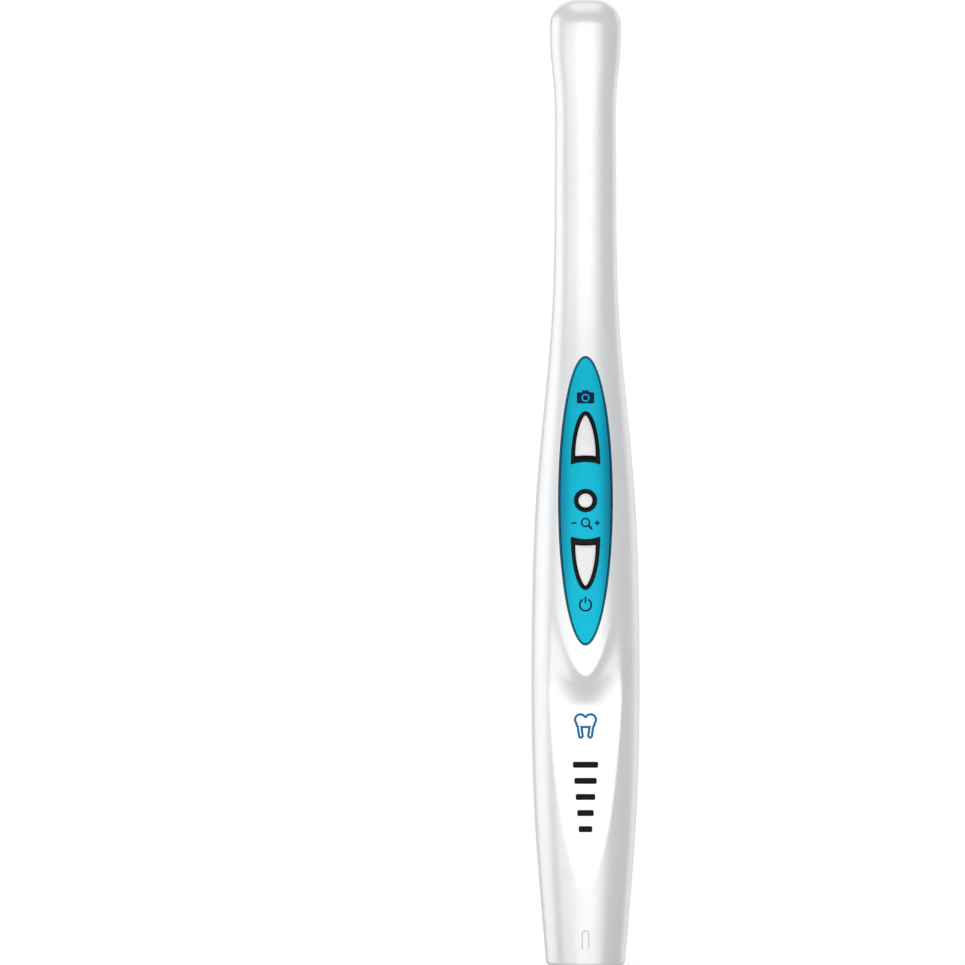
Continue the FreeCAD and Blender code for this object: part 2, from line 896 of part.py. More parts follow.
def key(word):
    """A key cap with the flange that keeps it in and the stem that presses its switch."""
    foot = f"-{word}_foot"
    cap = common(f"{word}_cap", outline(word, f"{word}_prism", "0", "-14", foot), key_face)
    flange = common(
        f"{word}_flange", outline(word, f"{word}_flange_prism", "key_flange_wide", "-14", foot), flange_face
    )
    stem = cross_rod(f"{word}_stem", "stem_r", foot, "board_back - plunger_top", z=KEY_HEIGHTS[word])
    return fuse(f"{word}_key", cap, flange, stem)


def bezel(word):
    """The black ring round a key, which sits in the panel on the casing's floor."""
    ring = cut(
        f"{word}_ring",
        outline(word, f"{word}_ring_prism", RIMS[word], "-14", "-4"),
        outline(word, f"{word}_ring_way", "key_gap", "-15", "-3"),
    )
    return cut(f"{word}_bezel", common(f"{word}_ring_face", ring, bezel_face), panel_back)


keys = {word: key(word) for word in KEY_HEIGHTS}
bezels = {word: bezel(word) for word in KEY_HEIGHTS}
panel_blank = ellipse_rod(
    "panel_blank", "panel_half_width - panel_gap", "panel_half_length - panel_gap", "-14", "-4", "panel_z"
)
panel_holes = [
    outline(word, f"{word}_panel_hole", f"{RIMS[word]} + panel_hole_gap", "-15", "-3") for word in KEY_HEIGHTS
]
panel = cut("control_panel", common("panel_slab", panel_blank, panel_face), panel_back, *panel_holes)

snap_cap = common(
    "snap_cap",
    cross_rod("snap_prism", "snap_key_r", "snap_foot", "12", z="snap_z"),
    shifted("snap_face_form", outer, "snap_proud"),
)
snap_flange = common(
    "snap_flange",
    cross_rod("snap_flange_prism", "snap_key_r + key_flange_wide", "snap_foot", "12", z="snap_z"),
    shifted("snap_flange_form", outer, "-snap_flange_top"),
)
snap_stem = cross_rod("snap_stem", "stem_r", "board_face + plunger_top", "snap_foot", z="snap_z")
snap_button = fuse("snap_button", snap_cap, snap_flange, snap_stem)

# Name plate and the case screws under it

plate_blank = ellipse_rod(
    "plate_blank", "plate_half_width - plate_gap", "plate_half_length - plate_gap", "5", "12", "plate_z"
)
name_plate = cut(
    "name_plate",
    common("plate_slab", plate_blank, shifted("plate_face_form", outer, "-plate_sink")),
    shifted("plate_back_form", outer, "-plate_back"),
)


def case_screw(word, z):
    """A pan-head screw from the lens side through the board into a post on the key side."""
    head = cross_rod(f"{word}_screw_head", "screw_head_r", "screw_head_foot", "screw_head_top", z=z)
    shank = cross_rod(f"{word}_screw_shank", "screw_r", "screw_tip", "screw_head_foot", z=z)
    slot = box(
        f"{word}_screw_slot",
        ("-5", "5"),
        ("screw_head_top - screw_slot_deep", "screw_head_top + overlap"),
        (f"{z} - screw_slot_half", f"{z} + screw_slot_half"),
    )
    return cut(f"{word}_case_screw", fuse(f"{word}_screw_blank", head, shank), slot)


screws = {word: case_screw(word, height) for word, height in screw_heights.items()}

# Head: window, lamps and camera module

window = turned(
    "window",
    [
        ("window_back", "0"),
        ("window_back", "window_r"),
        ("boss_face", "window_r"),
        ("window_bevel_face", "window_bevel_r"),
        ("window_face", "window_crown_r"),
        ("window_face", "0"),
    ],
)
seal = turned(
    "window_seal",
    [
        ("seat_floor", "seal_in"),
        ("seat_floor", "seal_out"),
        ("window_back", "seal_out"),
        ("window_back", "seal_in"),
    ],
)
bracket_blank = turned(
    "bracket_blank",
    [
        ("bracket_back", "bracket_hole_r"),
        ("bracket_back", "bracket_r"),
        ("bracket_face", "bracket_r"),
        ("bracket_face", "bracket_tube_in"),
        ("bracket_web", "bracket_tube_in"),
        ("bracket_web", "bracket_hole_r"),
    ],
)
LEAD_SIDES = {"left": "0 - lamp_lead_x", "right": "lamp_lead_x"}
lead_z = "lens_z - lamp_lead_drop"
bracket = cut(
    "lens_bracket",
    bracket_blank,
    *[
        cross_rod(f"lamp_way_{word}", "lamp_lead_hole_r", "0", "bracket_web + overlap", x=x, z=lead_z)
        for word, x in LEAD_SIDES.items()
    ],
)
lamp_leads = group(
    "lamp_leads",
    *[
        cross_rod(f"lamp_lead_{word}", "lamp_lead_r", "holder_back", "bracket_face", x=x, z=lead_z)
        for word, x in LEAD_SIDES.items()
    ],
)
lamp_board = cut(
    "lamp_board",
    cross_rod("lamp_board_disc", "lamp_ring_out", "bracket_face", "lamp_ring_face"),
    cross_rod("lamp_board_hole", "lamp_ring_in", "0", "10"),
)


def lamp_block(name, long, short, low, high):
    """A block at the top of the lamp ring, with its long side round the ring."""
    return box(
        name,
        (f"0 - {long} / 2", f"{long} / 2"),
        (low, high),
        (f"lens_z + lamp_pitch_r - {short} / 2", f"lens_z + lamp_pitch_r + {short} / 2"),
    )


LAMP_ANGLES = range(30, 390, 60)
lamp_top = "lamp_ring_face + lamp_high"
frame_block = lamp_block("lamp_frame", "lamp_long", "lamp_short", "lamp_ring_face", lamp_top)
well_floor = f"{lamp_top} - phosphor_high"
well_block = lamp_block("lamp_well", "phosphor_long", "phosphor_short", well_floor, f"{lamp_top} + overlap")
phosphor_block = lamp_block("lamp_phosphor", "phosphor_long", "phosphor_short", well_floor, lamp_top)
lamp_frame = cut("lamp_case", frame_block, well_block)
lamp_frames = group("lamp_frames", *[orbit(f"lamp_case_at_{a}", lamp_frame, a) for a in LAMP_ANGLES])
lamp_phosphors = group(
    "lamp_phosphors", *[orbit(f"lamp_phosphor_at_{a}", phosphor_block, a) for a in LAMP_ANGLES]
)

barrel = turned(
    "lens_barrel",
    [
        ("barrel_back", "barrel_r"),
        ("barrel_face", "barrel_r"),
        ("barrel_face", "barrel_mouth_r"),
        ("barrel_mouth_floor", "barrel_bore_r"),
        ("barrel_stop_face", "barrel_bore_r"),
        ("barrel_stop_face", "barrel_stop_r"),
        ("barrel_stop_back", "barrel_stop_r"),
        ("barrel_stop_back", "barrel_bore_r"),
        ("barrel_back", "barrel_bore_r"),
    ],
)
front_lens = turned(
    "front_lens",
    [
        ("front_lens_back", "0"),
        ("front_lens_back", "lens_r"),
        ("front_lens_rim", "lens_r"),
        ("front_lens_shoulder", "lens_r * 0.6"),
        ("front_lens_crown", "0"),
    ],
)
rear_lens = turned(
    "rear_lens",
    [
        ("rear_lens_face", "0"),
        ("rear_lens_face", "lens_r"),
        ("rear_lens_rim", "lens_r"),
        ("rear_lens_crown", "0"),
    ],
)


def head_block(name, half, low, high):
    """A square block centred on the lens axis."""
    return box(name, (f"0 - {half}", half), (low, high), (f"lens_z - {half}", f"lens_z + {half}"))


holder = cut(
    "lens_holder",
    head_block("holder_blank", "holder_half", "holder_back", "holder_face"),
    cross_rod("holder_bore", "holder_bore_r", "holder_room_face - overlap", "holder_face + overlap"),
    head_block("holder_room", "holder_room_half", "holder_back - overlap", "holder_room_face"),
)
sensor = head_block("image_sensor", "sensor_half", "holder_back", "sensor_face")
ir_filter = head_block("ir_filter", "filter_half", "sensor_face", "filter_face")
sensor_board = box(
    "sensor_board",
    ("-sensor_board_half", "sensor_board_half"),
    ("sensor_board_back", "holder_back"),
    ("sensor_board_low", "sensor_board_top"),
)


def ribbon_strip():
    """The ribbon runs straight down the neck from the sensor board, then bends in to its connector."""
    body = doc.addObject("PartDesign::Body", "ribbon_cable")
    near_face = "sensor_board_back"
    corners = [
        (near_face, "ribbon_head_z"),
        (f"{near_face} - ribbon_thick", "ribbon_head_z"),
        (f"{near_face} - ribbon_thick", "ribbon_bend_top"),
        ("ribbon_foot_y - ribbon_thick", "ribbon_bend_low"),
        ("ribbon_foot_y - ribbon_thick", "connector_top"),
        ("ribbon_foot_y", "connector_top"),
        ("ribbon_foot_y", "ribbon_bend_low"),
        (near_face, "ribbon_bend_top"),
    ]
    sketch = corner_sketch(body, "ribbon_side", "YZ_Plane", corners)
    pad = body.newObject("PartDesign::Pad", "ribbon_pad")
    pad.Profile = sketch
    pad.Midplane = True
    bind(pad, Length="2 * ribbon_half")
    body.Tip = pad
    return body


ribbon = ribbon_strip()

doc.recompute()
for thing in doc.Objects:
    if thing.State and thing.State != ["Up-to-date"]:
        raise RuntimeError(f"{thing.Name} is {thing.State}")
    if hasattr(thing, "Shape") and not thing.Shape.isNull() and not thing.Shape.isValid():
        raise RuntimeError(f"{thing.Name} has a broken shape")

NODES = [
    lens_shell,
    key_shell,
    base_cap,
    cable_socket,
    insulator,
    contacts,
    leads,
    nut,
    header,
    board,
    processor,
    memory,
    usb_bridge,
    board_parts,
    connector,
    ribbon,
    panel,
    name_plate,
    snap_button,
    window,
    seal,
    bracket,
    lamp_leads,
    lamp_board,
    lamp_frames,
    lamp_phosphors,
    barrel,
    front_lens,
    rear_lens,
    holder,
    ir_filter,
    sensor,
    sensor_board,
]
NODES += list(keys.values()) + list(bezels.values()) + list(screws.values())
for housing, plunger in switches.values():
    NODES += [housing, plunger]

os.makedirs("parts", exist_ok=True)
for node in NODES:
    node.Shape.exportStep(f"parts/{node.Name}.step")
    print(node.Name, len(node.Shape.Solids), round(node.Shape.Volume, 2))
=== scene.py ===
"""Intraoral camera: the looks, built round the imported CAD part.

Lengths in this file are millimetres in the part's own frame and become metres when a mesh is made.
+Z runs up the wand, the lens looks along +Y and the key panel faces -Y."""

import json
import math

import bmesh
import bpy
import numpy as np
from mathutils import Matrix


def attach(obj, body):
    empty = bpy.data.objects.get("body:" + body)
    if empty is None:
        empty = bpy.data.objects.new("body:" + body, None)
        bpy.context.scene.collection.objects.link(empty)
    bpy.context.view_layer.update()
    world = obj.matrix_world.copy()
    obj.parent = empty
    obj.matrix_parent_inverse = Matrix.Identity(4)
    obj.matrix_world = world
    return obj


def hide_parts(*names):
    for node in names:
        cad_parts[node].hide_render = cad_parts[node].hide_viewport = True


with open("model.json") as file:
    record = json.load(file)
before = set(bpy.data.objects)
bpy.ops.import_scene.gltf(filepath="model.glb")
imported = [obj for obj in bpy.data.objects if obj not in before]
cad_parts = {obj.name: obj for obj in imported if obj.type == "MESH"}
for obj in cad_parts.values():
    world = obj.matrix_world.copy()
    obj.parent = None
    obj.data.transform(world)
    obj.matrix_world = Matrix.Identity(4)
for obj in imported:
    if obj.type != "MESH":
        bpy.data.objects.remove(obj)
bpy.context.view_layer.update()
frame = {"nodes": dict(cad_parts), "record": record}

MM = 0.001
LENS_SIDE, KEY_SIDE = 1, -1

# The casing: height, half width, depth on the lens side, depth on the key side
STATIONS = np.array(
    [
        (0.0, 8.15, 7.5, 7.5),
        (12.0, 9.15, 8.3, 8.3),
        (30.0, 10.5, 9.3, 9.4),
        (48.0, 11.13, 9.75, 10.1),
        (64.0, 11.2, 9.8, 10.4),
        (80.0, 10.97, 9.6, 10.5),
        (96.0, 10.3, 8.9, 10.0),
        (115.0, 8.65, 7.4, 8.5),
        (133.0, 7.05, 6.0, 6.5),
        (152.0, 6.42, 5.35, 5.6),
        (170.0, 6.32, 5.2, 5.3),
        (182.0, 6.55, 5.3, 5.5),
        (189.0, 7.22, 5.6, 5.9),
        (194.4, 7.35, 5.7, 6.1),
    ]
)
DOME_START, DOME_R = 194.4, 5.6
# How far up the dome's quarter circle its ovals go, just short of its pole
DOME_LAST = 0.99995
TIP_START, TIP_Z, TIP_EDGE_R = 199, 199.95, 0.3
BASE_EDGE_TOP, BASE_EDGE_R = 3, 1.1
BASE_CAP_HALF = (6.53, 5.88)
LENS_Z, HEAD_FOOT = 190.0, 180
BOSS_R, BOSS_FACE, BOSS_EDGE_R, BOSS_CUT, BOSS_BACK = 7.05, 7.0, 0.3, 6.62, 0.3
# The boss's root is least round beside the lens and most round above and below it
ROOT_R, ROOT_GAIN, ROOT_GAIN_START, ROOT_GAIN_END = 0.05, 1.6, 2.0, 6.0
PANEL_Z, PANEL_HALF = 96.3, (5.6, 29.7)
PLATE_Z, PLATE_HALF = 44.5, (4.2, 22.8)
SNAP_Z, SNAP_HOLE_R = 112.8, 3.0
ISLAND_Z, ISLAND_HALF, ISLAND_MID, ISLAND_FLARE = 87.0, (7.8, 28.4), 8.9, 0.8
ISLAND_TOP, ISLAND_FILLET = 115, 3.6
SCOOP_LOW, SCOOP_TOP = (16.0, 8.78), (90.0, 6.8)
# The scoop's edge is softer close to the island's outline
SCOOP_EDGE_R, SCOOP_EDGE_GAIN, SCOOP_EDGE_REACH = 0.22, 1.1, 2.0
TINY = 1e-9


# Shape functions


def natural_spline(knots, values):
    """A smooth curve through the knots: free at its foot, level at its top."""
    count = len(knots)
    step = np.diff(knots)
    slope = np.diff(values, axis=0) / step[:, None]
    system = np.zeros((count, count))
    right = np.zeros_like(values)
    system[0, 0] = 1
    for i in range(1, count - 1):
        system[i, i - 1 : i + 2] = step[i - 1], 2 * (step[i - 1] + step[i]), step[i]
        right[i] = 6 * (slope[i] - slope[i - 1])
    system[-1, -2:] = step[-1], 2 * step[-1]
    right[-1] = -6 * slope[-1]
    bend = np.linalg.solve(system, right)

    def curve(at):
        at = np.asarray(at, float)
        i = np.clip(np.searchsorted(knots, at) - 1, 0, count - 2)
        a, b = (knots[i + 1] - at)[..., None], (at - knots[i])[..., None]
        size = step[i][..., None]
        cubic = (bend[i] * a**3 + bend[i + 1] * b**3) / (6 * size)
        low, high = values[i] / size - bend[i] * size / 6, values[i + 1] / size - bend[i + 1] * size / 6
        return cubic + low * a + high * b

    return curve


station_curve = natural_spline(STATIONS[:, 0], STATIONS[:, 1:])


def casing_size(z):
    """Half width, half depth and middle of the casing's ellipse at each height."""
    wide, lens, keys = np.moveaxis(station_curve(np.clip(z, -2, DOME_START)), -1, 0)
    rise = np.clip((z - DOME_START) / DOME_R, 0, DOME_LAST)
    inset = DOME_R * (1 - np.sqrt(1 - rise**2))
    return wide - inset, (lens + keys) / 2 - inset, (lens - keys) / 2


def round_max(a, b, r):
    """The meeting of two solids, with its outer corner rounded to r."""
    return np.minimum(np.maximum(a, b) + r, 0) + np.hypot(np.maximum(a + r, 0), np.maximum(b + r, 0)) - r


def round_min(a, b, r):
    """The union of two solids, with its inner corner filled to r."""
    return -round_max(-a, -b, r)


def ellipse_distance(a, b, half_a, half_b):
    """Distance outside an ellipse, near enough for blends and outlines."""
    u, v = a / half_a, b / half_b
    reach = np.hypot(u, v) + TINY
    return (reach - 1) * reach / np.hypot(u / half_a, v / half_b).clip(TINY)


def oval_distance(x, z, centre_z, half):
    """Distance outside an upright oval in the XZ plane."""
    return ellipse_distance(x, z - centre_z, *half)


def casing_distance(x, y, z):
    wide, deep, middle = casing_size(z)
    return ellipse_distance(x, y - middle, wide, deep)


def with_boss(tube, x, y, z):
    """The casing's tube joined with the lens boss."""
    boss = np.maximum(np.hypot(x, z - LENS_Z) - BOSS_R, y - BOSS_FACE)
    away = (np.abs(z - LENS_Z) - ROOT_GAIN_START) / (ROOT_GAIN_END - ROOT_GAIN_START)
    return round_min(tube, boss, ROOT_R + ROOT_GAIN * np.clip(away, 0, 1))


def with_scoop(tube, x, y, z):
    """The casing's tube cut by the scoop's leaning plane, except at the island."""
    lean = (SCOOP_TOP[1] - SCOOP_LOW[1]) / (SCOOP_TOP[0] - SCOOP_LOW[0])
    plane = -(SCOOP_LOW[1] + lean * (z - SCOOP_LOW[0])) - y
    rim = oval_distance(x, z, ISLAND_Z, ISLAND_HALF)
    island = (rim - (y + ISLAND_MID) * ISLAND_FLARE) / math.hypot(1, ISLAND_FLARE)
    edge_r = SCOOP_EDGE_R + SCOOP_EDGE_GAIN * np.exp(-((rim / SCOOP_EDGE_REACH) ** 2))
    return round_max(tube, round_min(plane, island, ISLAND_FILLET), edge_r)


def wand_distance(x, y, z):
    """Negative inside the whole casing: its tube and dome, lens boss, scoop, island and rounded foot."""
    tube = casing_distance(x, y, z)
    tube = np.where(z > TIP_START, round_max(tube, z - TIP_Z, TIP_EDGE_R), tube)
    lens_part = np.where(y > BOSS_BACK, with_boss(tube, x, y, z), tube)
    key_part = np.where(z < ISLAND_TOP, with_scoop(tube, x, y, z), tube)
    whole = np.where(y > 0, lens_part, key_part)
    return np.where(z < BASE_EDGE_TOP, round_max(whole, -z, BASE_EDGE_R), whole)


GRADIENT_STEP = 0.01


def gradient(distance, points):
    """Unit outward normals of a distance function at points."""
    normals = np.zeros_like(points)
    for axis in range(3):
        step = np.zeros(3)
        step[axis] = GRADIENT_STEP
        ahead, behind = np.moveaxis(points + step, -1, 0), np.moveaxis(points - step, -1, 0)
        normals[..., axis] = distance(*ahead) - distance(*behind)
    return normals / np.linalg.norm(normals, axis=-1, keepdims=True).clip(TINY)


# A ray leaves the wand between these two lengths; each halving of the span finds the place more closely
RAY_NEAR, RAY_FAR, RAY_HALVINGS = 0.5, 24.0, 32


def cast(distance, origins, rays):
    """Points where rays from inside leave the solid."""
    low = np.full(rays.shape[:-1], RAY_NEAR)
    high = np.full(rays.shape[:-1], RAY_FAR)
    for _ in range(RAY_HALVINGS):
        middle = (low + high) / 2
        inside = distance(*np.moveaxis(origins + rays * middle[..., None], -1, 0)) < 0
        low = np.where(inside, middle, low)
        high = np.where(inside, high, middle)
    return origins + rays * ((low + high) / 2)[..., None]


def side_y(x, z, side):
    """Y of the plain casing's surface on its lens side or its key side."""
    wide, deep, middle = casing_size(z)
    return middle + side * deep * np.sqrt(np.clip(1 - (x / wide) ** 2, 0, 1))


# Mesh builders


def make_mesh(name, points, faces, normals=None):
    """An object from points in millimetres, smooth all over. Normals, where given, are per point."""
    mesh = bpy.data.meshes.new(name)
    mesh.from_pydata((np.asarray(points) * MM).tolist(), [], faces)
    mesh.validate()
    mesh.shade_smooth()
    if normals is not None:
        mesh.normals_split_custom_set_from_vertices(np.asarray(normals).tolist())
    piece = bpy.data.objects.new(name, mesh)
    bpy.context.scene.collection.objects.link(piece)
    return piece


def grid_faces(rows, columns, closed=False, start=0, flip=False):
    faces = []
    for r in range(rows - 1):
        for c in range(columns if closed else columns - 1):
            d = (c + 1) % columns
            corners = [r * columns + c, r * columns + d, (r + 1) * columns + d, (r + 1) * columns + c]
            faces.append([start + k for k in (reversed(corners) if flip else corners)])
    return faces


def closing_faces(count, last, start=0):
    """Faces that join a grid's last ring, from point last on, to its first, from point start on."""
    following = [(c + 1) % count for c in range(count)]
    return [[last + c, last + d, start + d, start + c] for c, d in enumerate(following)]


def clipped_sheet(points, normals, keep, flip=False):
    """A grid of points cut along keep = 0, where keep is a grid of distances that are positive on the part
    to be kept. Returns points, normals, faces and the cut's segments, with the kept part to their left."""
    rows, columns = keep.shape
    points = list(points.reshape(-1, 3))
    normals = list(normals.reshape(-1, 3))
    keep = keep.ravel()
    kept = keep > 0
    crossings, faces, segments = {}, [], []

    def crossing(a, b):
        pair = (min(a, b), max(a, b))
        if pair not in crossings:
            share = keep[pair[0]] / (keep[pair[0]] - keep[pair[1]])
            crossings[pair] = len(points)
            points.append(points[pair[0]] * (1 - share) + points[pair[1]] * share)
            normal = normals[pair[0]] * (1 - share) + normals[pair[1]] * share
            normals.append(normal / np.linalg.norm(normal))
        return crossings[pair]

    for corners in grid_faces(rows, columns, flip=flip):
        inside = [kept[k] for k in corners]
        if all(inside):
            faces.append(corners)
            continue
        if not any(inside):
            continue
        polygon, cuts = [], []
        for k in range(4):
            a, b = corners[k], corners[(k + 1) % 4]
            if kept[a]:
                polygon.append(a)
            if kept[a] != kept[b]:
                polygon.append(crossing(a, b))
                cuts.append((polygon[-1], bool(kept[a])))
        faces.append(polygon)
        if len(cuts) == 2:
            leaving = cuts[0] if cuts[0][1] else cuts[1]
            entering = cuts[1] if cuts[0][1] else cuts[0]
            segments.append((leaving[0], entering[0]))
    return points, normals, faces, segments


WALL_TOP_LEAN = 0.6


def add_walls(points, normals, faces, segments, steps, outward):
    """Turns a sheet's cut edges down into walls. steps are (distance into the gap, distance down)."""
    if not segments:
        return
    outward = np.asarray(outward, float)
    away = {}
    for a, b in segments:
        side = np.cross(points[b] - points[a], outward)
        for k in (a, b):
            away[k] = away.get(k, 0) - side
    away = {k: -v / max(np.linalg.norm(v), 1e-12) for k, v in away.items()}
    rings = [{k: k for k in away}]
    for number, (gap, down) in enumerate(steps):
        ring = {}
        for k, direction in away.items():
            ring[k] = len(points)
            points.append(points[k] + direction * gap - outward * down)
            lean = outward * (WALL_TOP_LEAN if number == 0 else 0.0) + direction
            normals.append(lean / np.linalg.norm(lean))
        rings.append(ring)
    for upper, lower in zip(rings, rings[1:]):
        for a, b in segments:
            faces.append([upper[b], upper[a], lower[a], lower[b]])


def used_only(points, normals, faces):
    """Drops the points that no face uses."""
    used = sorted({k for face in faces for k in face})
    place = {old: new for new, old in enumerate(used)}
    return [points[k] for k in used], [[place[k] for k in face] for face in faces], [normals[k] for k in used]


ROUND_POINTS = 96


def lathe(name, profile, sharp=35):
    """A closed ring or disc turned about the lens's axis. profile is (distance along Y, radius)."""
    angles = np.arange(ROUND_POINTS) * 2 * math.pi / ROUND_POINTS
    across, up = np.cos(angles), np.sin(angles)
    rings = [np.stack([r * across, np.full_like(across, y), LENS_Z + r * up], axis=-1) for y, r in profile]
    faces = grid_faces(len(rings), ROUND_POINTS, closed=True)
    if profile[0][1] > 0 or profile[-1][1] > 0:
        faces += closing_faces(ROUND_POINTS, (len(rings) - 1) * ROUND_POINTS)
    return weld(make_mesh(name, np.concatenate(rings), faces), sharp)


WELD_DISTANCE = 0.001 * MM


def weld(piece, sharp):
    """Merges doubled points, turns faces outward and marks the edges sharper than an angle in degrees."""
    work = bmesh.new()
    work.from_mesh(piece.data)
    bmesh.ops.remove_doubles(work, verts=work.verts, dist=WELD_DISTANCE)
    bmesh.ops.recalc_face_normals(work, faces=work.faces)
    work.to_mesh(piece.data)
    work.free()
    piece.data.shade_smooth()
    piece.data.set_sharp_from_angle(angle=math.radians(sharp))
    return piece


# Casing skins


# The heights where the rays that find the skin start, and how many degrees down they fan at either end
RAYS_FOOT, RAYS_NECK, RAY_STEP = 3.0, 176, 0.33
FOOT_FAN, FOOT_FAN_STEP = 28, 2.0
HEAD_FAN, HEAD_FAN_STEP, BEND_STEPS = 50, 1.25, 40
FAN_END, LAST_RAY = 89.5, 89.9
# The angles round a half turn. The closer ones at both ends keep the groove at the parting line narrow
HALF_TURN = np.concatenate([[0, 0.5], np.linspace(1.5, 178.5, 119), [179.5, 180]])


def skin_rays(first_angle):
    """Rays from inside the wand over one half turn: fanned out in the foot and the head, level between."""
    foot = [(RAYS_FOOT, a) for a in np.arange(-FOOT_FAN, 0, FOOT_FAN_STEP)]
    tube = [(z, 0.0) for z in np.arange(RAYS_FOOT, RAYS_NECK, RAY_STEP)]
    bend = [(RAYS_NECK + (LENS_Z - RAYS_NECK) * t, -HEAD_FAN * t) for t in np.arange(0, 1, 1 / BEND_STEPS)]
    head = [(LENS_Z, a) for a in np.arange(-HEAD_FAN, FAN_END, HEAD_FAN_STEP)] + [(LENS_Z, LAST_RAY)]
    rows = np.array(foot + tube + bend + head)
    turn = np.radians(first_angle + HALF_TURN)
    tilt = np.radians(rows[:, 1])[:, None]
    rays = np.stack(
        [np.cos(turn) * np.cos(tilt), np.sin(turn) * np.cos(tilt), np.sin(tilt) * np.ones_like(turn)], axis=-1
    )
    origins = np.zeros_like(rays)
    origins[..., 2] = rows[:, 0][:, None]
    return origins, rays


def capsule_distance(x, z, low, high, r):
    return np.hypot(x, z - np.clip(z, low + r, high - r)) - r


PARTING_DEPTH = 0.1


def skin(name, first_angle, holes, walls):
    """One half shell's outside, its edges sunk a little along the parting line. holes gives a keep
    distance at x, y, z; walls are (test, outward, steps), where the test picks cut edges by a point."""
    origins, rays = skin_rays(first_angle)
    surface = cast(wand_distance, origins, rays)
    normals = gradient(wand_distance, surface)
    for edge in (0, -1):
        surface[:, edge] -= PARTING_DEPTH * normals[:, edge]
    keep = holes(*np.moveaxis(surface, -1, 0))
    points, normals, faces, segments = clipped_sheet(surface, normals, keep)
    for test, outward, steps in walls:
        chosen = [pair for pair in segments if test(points[pair[0]])]
        add_walls(points, normals, faces, chosen, steps, outward)
    return make_mesh(name, *used_only(points, normals, faces))


# A keep distance for where a cut doesn't reach, and the heights that tell the cuts apart
FAR = 9.0
BASE_CUT_TOP, MARK_CUT_TOP = 0.6, 20
# The opening's share beyond its outline, times about its half width, is a distance
BASE_CAP_REACH = 6


def foot_keep(x, y, z):
    ring = (np.hypot(x / BASE_CAP_HALF[0], y / BASE_CAP_HALF[1]) - 1) * BASE_CAP_REACH
    return np.where(z < BASE_CUT_TOP, ring, FAR)


LIP = 0.1
# The index mark's foot, top and end radius, and the middle of the painted shadow line round it
MARK = (3.6, 7.8, 0.64)
INDEX_Z = 5.7


def lens_side_keep(x, y, z):
    boss = np.where(z > HEAD_FOOT, BOSS_CUT - y, FAR)
    snap = np.hypot(x, z - SNAP_Z) - SNAP_HOLE_R - LIP
    plate = oval_distance(x, z, PLATE_Z, PLATE_HALF) - LIP
    return np.minimum.reduce([foot_keep(x, y, z), boss, snap, plate])


def key_side_keep(x, y, z):
    panel = oval_distance(x, z, PANEL_Z, PANEL_HALF) - LIP
    mark = capsule_distance(x, z, *MARK)
    return np.minimum.reduce([foot_keep(x, y, z), panel, mark])


def between(low, high):
    """A test for cut edges between two heights."""
    return lambda point: low < point[2] < high


def lip_steps(depth):
    """A small rounded lip over a wall that deep."""
    return [(LIP * 0.7, LIP * 0.4), (LIP, LIP), (LIP, depth)]


foot_wall = (between(-1, BASE_CUT_TOP), (0, 0, -1), [(0.0, 0.02), (0.0, 0.9)])
lens_walls = [foot_wall, (between(BASE_CUT_TOP, HEAD_FOOT), (0, LENS_SIDE, 0), lip_steps(1.4))]
key_walls = [
    foot_wall,
    (between(MARK_CUT_TOP, HEAD_FOOT), (0, KEY_SIDE, 0), lip_steps(1.2)),
    (between(BASE_CUT_TOP, MARK_CUT_TOP), (0, KEY_SIDE, 0), [(0.0, 0.02), (0.03, 0.24)]),
]
lens_skin = skin("lens_side_casing", 0, lens_side_keep, lens_walls)
key_skin = skin("key_side_casing", 180, key_side_keep, key_walls)


# Pieces that lie in or on the casing


def inlay(name, side, z_span, half_x, step, keep, lift, steps):
    """A sheet that follows the casing's surface, cut to an outline, with its edges turned down."""
    across = np.linspace(-half_x, half_x, int(2 * half_x / step) + 1) * -side
    up = np.linspace(*z_span, int((z_span[1] - z_span[0]) / step) + 1)
    x, z = np.meshgrid(across, up)
    y = side_y(x, z, side)
    normals = gradient(casing_distance, np.stack([x, y, z], axis=-1))
    points = np.stack([x, y + side * lift, z], axis=-1)
    points, normals, faces, segments = clipped_sheet(points, normals, keep(x, z))
    add_walls(points, normals, faces, segments, steps, (0, side, 0))
    return make_mesh(name, *used_only(points, normals, faces))


INLAY_STEP = 0.25


def oval_inlay(name, side, centre_z, half, keep, sink, depth):
    """A sunk oval sheet with a small rounded edge, and walls that deep below it."""
    z_span = (centre_z - half[1], centre_z + half[1])
    steps = [(0.06, 0.03), (0.1, 0.1), (0.1, depth)]
    return inlay(name, side, z_span, half[0], INLAY_STEP, keep, -sink, steps)


def even_outline(corner_points, count, softening):
    """A closed outline resampled evenly, with its corners softened."""
    loop = np.vstack([corner_points, corner_points[:1]])
    walked = np.concatenate([[0], np.cumsum(np.hypot(*np.diff(loop, axis=0).T))])
    at = np.arange(count) * walked[-1] / count
    outline = np.stack([np.interp(at, walked, loop[:, k]) for k in (0, 1)], axis=-1)
    for _ in range(softening):
        outline = (np.roll(outline, 1, axis=0) + 2 * outline + np.roll(outline, -1, axis=0)) / 4
    return outline


def circle_outline(z, r):
    turn = np.arange(ROUND_POINTS) * 2 * math.pi / ROUND_POINTS
    return np.stack([r * np.cos(turn), z + r * np.sin(turn)], axis=-1)


FLANK_POINTS, FOOT_POINTS = 60, 40
ARCH_POINTS, ARCH_SOFTENING = 240, 3


